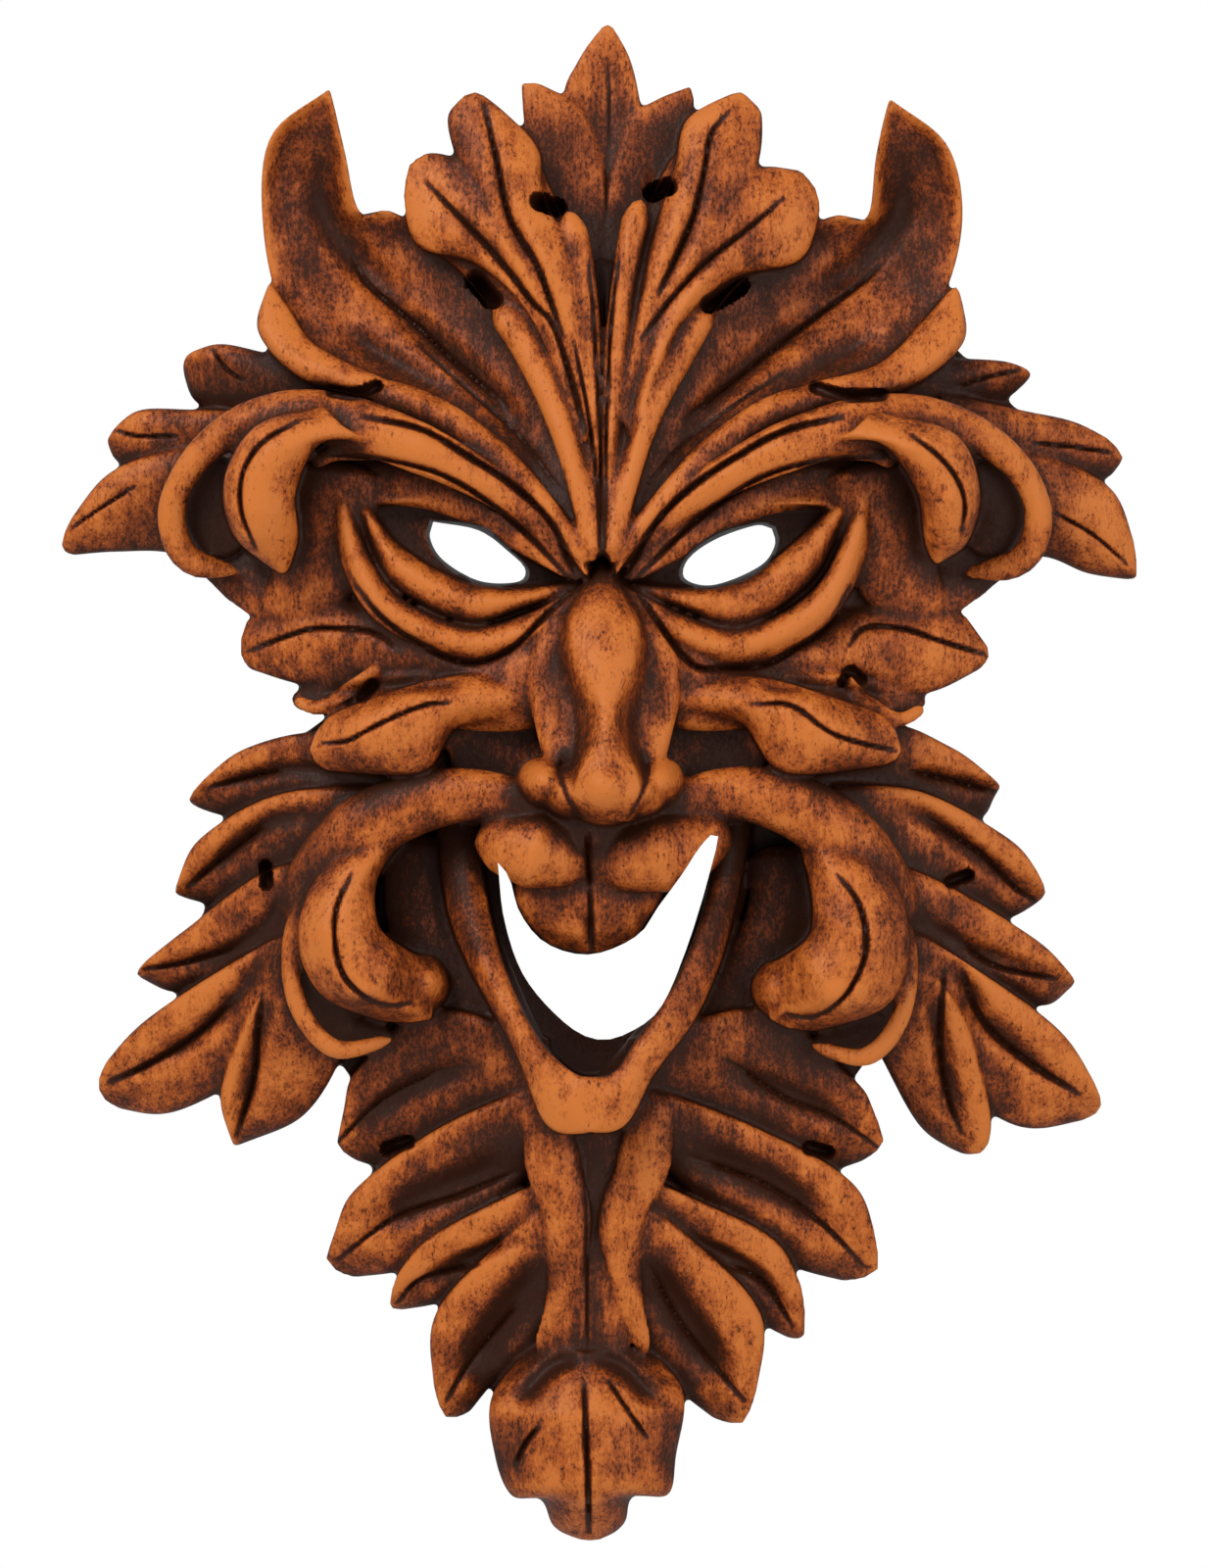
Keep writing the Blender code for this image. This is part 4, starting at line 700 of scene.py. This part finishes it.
def cutter(name, outline, draw):
    piece = bmesh.new()
    smooth = curveThrough(outline + outline[:1], 64)[:-1]
    middle = smooth.mean(axis=0)
    corners = [piece.verts.new(place(x, y, -0.01)) for x, y in smooth]
    face = piece.faces.new(corners)
    grown = bmesh.ops.extrude_face_region(piece, geom=[face])["geom"]
    for vert in grown:
        if isinstance(vert, bmesh.types.BMVert):
            vert.co = pushed(vert.co, 0.12)
            out = Vector((vert.co.x, 0, vert.co.z)) - Vector((place(*middle, 0.12).x, 0, place(*middle, 0.12).z))
            vert.co += out.normalized() * draw
    bmesh.ops.recalc_face_normals(piece, faces=piece.faces[:])
    return asPiece(name, piece)


def cutOut(target, tool):
    apply(target, "BOOLEAN", operation="DIFFERENCE", object=tool, solver="MANIFOLD")
    bpy.data.objects.remove(tool)


def onDrawing(points):  # the squares at which points of the piece stand
    reach = drawing["viewingDistance"]
    mountSize = drawing["square"] * reach / (reach - drawing["middleDepth"])
    size = drawing["square"] * (reach + points[:, 1]) / (reach - drawing["middleDepth"])
    across = (points[:, 0] + (drawing["mountAcross"] - drawing["middle"]) * mountSize) / size + drawing["middle"]
    down = drawing["level"] - (points[:, 2] + (drawing["level"] - drawing["mountDown"]) * mountSize) / size
    return across, down


def readPoints(mesh):
    points = np.empty(len(mesh.vertices) * 3, np.float32)
    mesh.vertices.foreach_get("co", points)
    normals = np.empty(len(mesh.vertices) * 3, np.float32)
    mesh.vertices.foreach_get("normal", normals)
    return points.reshape(-1, 3).astype(float), normals.reshape(-1, 3).astype(float)


def nearStroke(across, down, points, width):  # share of the width from a stroke, and place along it
    path = curveThrough(points, max(12, len(points) * 6))
    low, high = path.min(axis=0) - width, path.max(axis=0) + width
    near = np.nonzero((across > low[0]) & (across < high[0]) & (down > low[1]) & (down < high[1]))[0]
    spots = np.column_stack([across[near], down[near]])
    best = np.full(len(near), 1e9)
    where = np.zeros(len(near))
    for step, (a, b) in enumerate(zip(path, path[1:])):
        span = b - a
        t = np.clip(((spots - a) @ span) / max(span @ span, 1e-9), 0, 1)
        gap = np.linalg.norm(spots - a - t[:, None] * span, axis=1)
        closer = gap < best
        best[closer] = gap[closer]
        where[closer] = (step + t[closer]) / (len(path) - 1)
    inside = best < width
    return near[inside], best[inside] / width, where[inside]


def sculpt(mesh):  # hollows, veins and pockets, pushed in towards the wall
    points, normals = readPoints(mesh)
    across, down = onDrawing(points)
    facing = np.clip(-normals[:, 1] * 1.6, 0, 1)
    for path, width, deep in hollows:
        spots, gap, where = nearStroke(across, down, path, width)
        ends = np.clip(np.minimum(where, 1 - where) * 4, 0, 1)
        points[spots, 1] += deep * np.cos(gap * math.pi / 2) ** 2 * ends * facing[spots]
    for path, width, deep in veins:
        spots, gap, where = nearStroke(across, down, path, width)
        ends = np.clip(np.minimum(where, 1 - where) * 5, 0, 1) ** 0.6
        points[spots, 1] += deep * (1 - gap) ** 1.2 * ends * facing[spots]
    for path, width, deep in pockets:
        spots, gap, where = nearStroke(across, down, path, width)
        inner = points[spots, 1] + deep * (1 - gap ** 3) * facing[spots]
        points[spots, 1] = np.where(normals[spots, 1] < 0, np.minimum(inner, -0.004), points[spots, 1])
    mesh.vertices.foreach_set("co", points.astype(np.float32).ravel())
    mesh.update()


def depthMap(points, cell):
    origin = points[:, [0, 2]].min(axis=0) - 0.06
    shape = np.ceil((points[:, [0, 2]].max(axis=0) + 0.06 - origin) / cell).astype(int)
    grid = np.full(shape, -0.004)
    spots = ((points[:, [0, 2]] - origin) / cell).astype(int)
    np.maximum.at(grid, (spots[:, 0], spots[:, 1]), -points[:, 1])
    return grid, origin


def readMap(grid, origin, cell, x, z):
    i = np.clip(((x - origin[0]) / cell).astype(int), 0, grid.shape[0] - 1)
    j = np.clip(((z - origin[1]) / cell).astype(int), 0, grid.shape[1] - 1)
    return grid[i, j]


def writeShade(mesh, grid, origin, cell):  # how deep in a hollow each point lies, and how proud it stands
    points, normals = readPoints(mesh)
    x, z, own = points[:, 0], points[:, 2], -points[:, 1]
    turns = np.linspace(0, 2 * math.pi, 12, endpoint=False)
    hollow = np.zeros(len(points))
    proud = np.zeros(len(points))
    swell = np.zeros(len(points))
    for turn in turns:
        dx, dz = math.cos(turn), math.sin(turn)
        steepest = np.zeros(len(points))
        for reach in (0.003, 0.005, 0.008, 0.012, 0.018, 0.026, 0.036):
            there = readMap(grid, origin, cell, x + dx * reach, z + dz * reach)
            rise = np.where(there < 0, 0, there - own)  # nothing stands beyond the outline
            steepest = np.maximum(steepest, rise / reach)
            if reach in (0.003, 0.005):
                proud += np.clip(-rise, -0.004, 0.004)
            if reach in (0.008, 0.012, 0.018):
                swell += np.clip(-rise, -0.006, 0.006)
        hollow += np.arctan(steepest)
    hollow = hollow / (len(turns) * math.pi / 2)
    proud = proud / (len(turns) * 2 * 0.004) + 0.45 * swell / (len(turns) * 3 * 0.006)
    across, down = onDrawing(points)
    stain = np.zeros(len(points))
    for path, width, amount in colourStrokes:
        spots, gap, where = nearStroke(across, down, path, width)
        ends = np.clip(np.minimum(where, 1 - where) * 5, 0, 1) ** 0.7
        stain[spots] += amount * 1.35 * np.cos(gap * math.pi / 2) * ends
    # painted shade: the colour darkens along the middle of each vein cut
    for path, width, deep in veins:
        spots, gap, where = nearStroke(across, down, path, width)
        stain[spots] = np.maximum(stain[spots], 0.75 * np.clip(1.3 - gap * 1.6, 0, 1))
    # painted shade: the colour darkens in and round each drilled pocket
    for path, width, deep in pockets:
        spots, gap, where = nearStroke(across, down, path, width * 1.15)
        stain[spots] += np.clip(1.2 - gap * 1.3, 0, 0.6) * 1.3
    cutShadeAndStrokesLayer = mesh.attributes.new("stain", "FLOAT", "POINT")
    cutShadeAndStrokesLayer.data.foreach_set("value", stain.astype(np.float32))
    # hollow drives painted shade: the wood colour darkens the deeper a point lies in a hollow
    shade = mesh.attributes.new("hollow", "FLOAT", "POINT")
    shade.data.foreach_set("value", hollow.astype(np.float32))
    wear = mesh.attributes.new("proud", "FLOAT", "POINT")
    wear.data.foreach_set("value", proud.astype(np.float32))


class Channel:  # a socket that takes part in arithmetic
    def __init__(self, board, socket):
        self.board = board
        self.socket = socket

    def math(self, operation, *others):
        return self.board.node("ShaderNodeMath", {"operation": operation}, dict(enumerate((self,) + others)))

    def __add__(self, other):
        return self.math("ADD", other)

    __radd__ = __add__

    def __mul__(self, other):
        return self.math("MULTIPLY", other)

    __rmul__ = __mul__

    def __sub__(self, other):
        return self.math("SUBTRACT", other)

    def __rsub__(self, other):
        return self.math("MULTIPLY", -1) + other

    def __pow__(self, other):
        return self.math("POWER", other)

    def clamped(self):
        return self.board.node("ShaderNodeClamp", {}, {"Value": self})


class Board:  # a material's node tree
    def __init__(self, name):
        self.material = bpy.data.materials.new(name)
        self.material.use_nodes = True
        self.tree = self.material.node_tree
        self.shader = self.tree.nodes["Principled BSDF"]

    def put(self, socket, value):
        if isinstance(value, Channel):
            self.tree.links.new(value.socket, socket)
        else:
            socket.default_value = value

    def node(self, kind, settings, inputs, output=0):
        node = self.tree.nodes.new(kind)
        for name, value in settings.items():
            if name == "stops":
                ramp = node.color_ramp
                while len(ramp.elements) < len(value):
                    ramp.elements.new(0.5)
                for element, (spot, colour) in zip(ramp.elements, value):
                    element.position = spot
                    element.color = (*colour, 1)
            else:
                setattr(node, name, value)
        for name, value in inputs.items():
            self.put(node.inputs[name], value)
        return Channel(self, node.outputs[output])

    def noise(self, where, scale, detail=3.0, rough=0.55):
        return self.node("ShaderNodeTexNoise", {}, {"Vector": where, "Scale": scale, "Detail": detail,
                                                    "Roughness": rough})

    def mapped(self, where, scale):
        return self.node("ShaderNodeMapping", {}, {"Vector": where, "Scale": scale})

    def mix(self, share, first, second):
        node = self.tree.nodes.new("ShaderNodeMix")
        node.data_type = "RGBA"
        for socket, value in ((node.inputs[0], share), (node.inputs[6], first), (node.inputs[7], second)):
            self.put(socket, value)
        return Channel(self, node.outputs[2])

    def spread(self, value, low, high):  # stretches a range to 0 to 1
        return self.node("ShaderNodeMapRange", {}, {"Value": value, "From Min": low, "From Max": high})


woodLook = {
    "stops": [(0.00, (0.60, 0.168, 0.030)), (0.22, (0.45, 0.106, 0.016)), (0.44, (0.26, 0.051, 0.0078)),
              (0.64, (0.140, 0.0265, 0.0048)), (0.84, (0.082, 0.0185, 0.0052)), (1.00, (0.037, 0.0115, 0.0048))],
    "speck": (0.040, 0.0090, 0.0025, 1),
    "roughness": 0.44,
    "grainStretch": (1.0, 1.0, 0.14),
    "poreStretch": (1.0, 1.0, 0.55),
}


def carvedWood():
    board = Board("carvedWood")
    here = board.node("ShaderNodeTexCoord", {}, {}, "Object")
    hollow = board.node("ShaderNodeAttribute", {"attribute_name": "hollow"}, {}, "Fac")
    proud = board.node("ShaderNodeAttribute", {"attribute_name": "proud"}, {}, "Fac")
    # the listed colour strokes, plus painted shade in the vein cuts and drilled pockets
    cutShadeAndStrokesLayer = board.node("ShaderNodeAttribute", {"attribute_name": "stain"}, {}, "Fac")
    patches = board.noise(here, 34, 4.0, 0.62)
    rubbed = board.noise(here, 130, 4.0, 0.66)
    fine = board.noise(board.mapped(here, woodLook["poreStretch"]), 1050, 4.0, 0.80)
    streaks = board.noise(board.mapped(here, woodLook["grainStretch"]), 330, 4.0, 0.68)
    # painted shade: darker the deeper a point lies in a hollow
    shadow = board.spread(hollow, 0.08, 0.92)
    dark = (shadow * 0.48 + cutShadeAndStrokesLayer + (patches - 0.5) * 1.3 + (rubbed - 0.5) * 0.9 - proud * 0.75 + 0.29
            + (streaks - 0.5) * 0.8 + (fine - 0.5) * 1.2)
    specks = ((dark * 0.9 + (fine - 0.5) * 4.6 + (streaks - 0.5) * 1.2 - 0.74) * 6).clamped()
    plain = board.node("ShaderNodeValToRGB", {"stops": woodLook["stops"]}, {"Fac": dark.clamped()})
    colour = board.mix(specks * 0.78, plain, woodLook["speck"])
    board.put(board.shader.inputs["Base Color"], colour)
    board.put(board.shader.inputs["Roughness"], (rubbed - 0.5) * 0.3 + woodLook["roughness"])
    height = streaks * 0.4 + rubbed * 0.5 + fine * 0.35 - specks * 0.3
    bump = board.node("ShaderNodeBump", {}, {"Strength": 0.55, "Distance": 0.0008, "Height": height})
    board.put(board.shader.inputs["Normal"], bump)
    board.shader.inputs["Specular IOR Level"].default_value = 0.20
    return board.material


def carve():
    for region in (ground, crown, horns, volutes, temples, eyes, creases, nose, cheeks, moustache, sideLeaves,
                   mouth, beard):
        region()
    mask = asPiece("carvedMask", strokes)
    print("strokes laid", len(mask.data.vertices))
    apply(mask, "REMESH", mode="VOXEL", voxel_size=carving["grain"], adaptivity=0)
    print("joined", len(mask.data.vertices))
    apply(mask, "SMOOTH", factor=0.5, iterations=carving["soften"])
    sculpt(mask.data)
    for name, outline, draw in (("eyeLeft", eyeLeft, carving["eyeDraw"]), ("eyeRight", eyeRight, carving["eyeDraw"]),
                                ("mouthHole", mouthHole, 0.0)):
        cutOut(mask, cutter(name, outline, draw))
    saw = bmesh.new()
    bmesh.ops.create_cube(saw, size=1)
    for vert in saw.verts:
        vert.co.y += 0.5
    cutOut(mask, asPiece("saw", saw))
    points, normals = readPoints(mask.data)
    cell = 0.0018
    grid, origin = depthMap(points, cell)
    mask.data.calc_loop_triangles()
    apply(mask, "DECIMATE", ratio=min(1.0, carving["triangles"] / len(mask.data.loop_triangles)))
    mask.data.validate()  # drops doubled faces
    points, normals = readPoints(mask.data)
    points = np.clip(points, *cadBox)
    mask.data.vertices.foreach_set("co", points.astype(np.float32).ravel())
    writeShade(mask.data, grid, origin, cell)
    for polygon in mask.data.polygons:
        polygon.use_smooth = True
    mask.data.set_sharp_from_angle(angle=math.radians(55))
    mask.data.materials.clear()
    mask.data.materials.append(carvedWood())
    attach(mask, "root")
    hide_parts("carved_mask")
    mask.data.calc_loop_triangles()
    print("mask carved", len(mask.data.loop_triangles))


eyeLeft = [(443, 533), (488, 542), (518, 563), (535, 580), (528, 593), (490, 592), (454, 572), (440, 550)]
eyeRight = [(787, 540), (790, 556), (775, 577), (729, 596), (700, 590), (703, 571), (729, 552), (770, 537)]
mouthHole = [(508, 880), (515, 940), (536, 998), (578, 1045), (612, 1061), (645, 1052), (675, 1027), (701, 967),
             (723, 896), (733, 850), (716, 862), (697, 891), (672, 925), (650, 955), (603, 974), (558, 963),
             (531, 932), (520, 896)]
carve()

studio = {
    "floorLevel": -0.45,
    "floorWide": 1.6,
    "floorNear": -1.4,
    "floorFar": 0.24,
    "lamps": {"key": (14.5, 0.8, (-0.75, -1.15, 0.85)), "fill": (7, 1.2, (0.95, -1.2, 0.15)),
              "low": (3, 0.9, (0.1, -1.1, -0.85))},
    "ambient": 0.42,
}


def paleStage():
    floor = bmesh.new()
    bmesh.ops.create_grid(floor, x_segments=1, y_segments=1, size=1)
    middle = (studio["floorNear"] + studio["floorFar"]) / 2
    for vert in floor.verts:
        vert.co = Vector((vert.co.x * studio["floorWide"], middle + vert.co.y * (studio["floorFar"] - middle),
                          studio["floorLevel"]))
    piece = asPiece("paleFloor", floor)
    board = Board("palePaint")
    here = board.node("ShaderNodeTexCoord", {}, {}, "Object")
    tone = board.noise(here, 3) * 0.02 + 0.84
    board.put(board.shader.inputs["Roughness"], tone)
    board.shader.inputs["Base Color"].default_value = (0.85, 0.85, 0.84, 1)
    piece.data.materials.append(board.material)


def lamps():
    for name, (power, size, spot) in studio["lamps"].items():
        light = bpy.data.lights.new(name, "AREA")
        light.energy = power
        light.size = size
        lamp = bpy.data.objects.new(name, light)
        lamp.location = spot
        aim = Vector((0, 0, -0.12)) - Vector(spot)
        lamp.rotation_euler = aim.to_track_quat("-Z", "Y").to_euler()
        bpy.context.scene.collection.objects.link(lamp)
    world = bpy.data.worlds.new("paleRoom")
    bpy.context.scene.world = world
    world.use_nodes = True
    tree = world.node_tree
    plain = tree.nodes["Background"]
    plain.inputs["Color"].default_value = (1, 1, 1, 1)
    plain.inputs["Strength"].default_value = studio["ambient"]
    seen = tree.nodes.new("ShaderNodeBackground")
    seen.inputs["Color"].default_value = (1, 1, 1, 1)
    path = tree.nodes.new("ShaderNodeLightPath")
    blend = tree.nodes.new("ShaderNodeMixShader")
    tree.links.new(path.outputs["Is Camera Ray"], blend.inputs[0])
    tree.links.new(plain.outputs[0], blend.inputs[1])
    tree.links.new(seen.outputs[0], blend.inputs[2])
    tree.links.new(blend.outputs[0], tree.nodes["World Output"].inputs["Surface"])


def camera():
    lens = bpy.data.cameras.new("photoView")
    lens.sensor_fit = "VERTICAL"
    lens.sensor_height = 36
    reach = drawing["viewingDistance"]
    lens.lens = lens.sensor_height * (reach - drawing["middleDepth"]) / (1600 * drawing["square"])
    eye = bpy.data.objects.new("photoView", lens)
    mountSize = drawing["square"] * reach / (reach - drawing["middleDepth"])
    eye.location = ((drawing["middle"] - drawing["mountAcross"]) * mountSize, -reach,
                    -(drawing["level"] - drawing["mountDown"]) * mountSize)
    eye.rotation_euler = (math.pi / 2, 0, 0)
    bpy.context.scene.collection.objects.link(eye)
    bpy.context.scene.camera = eye
    bpy.context.scene.view_settings.view_transform = "Standard"


paleStage()
lamps()
camera()
print("studio set")
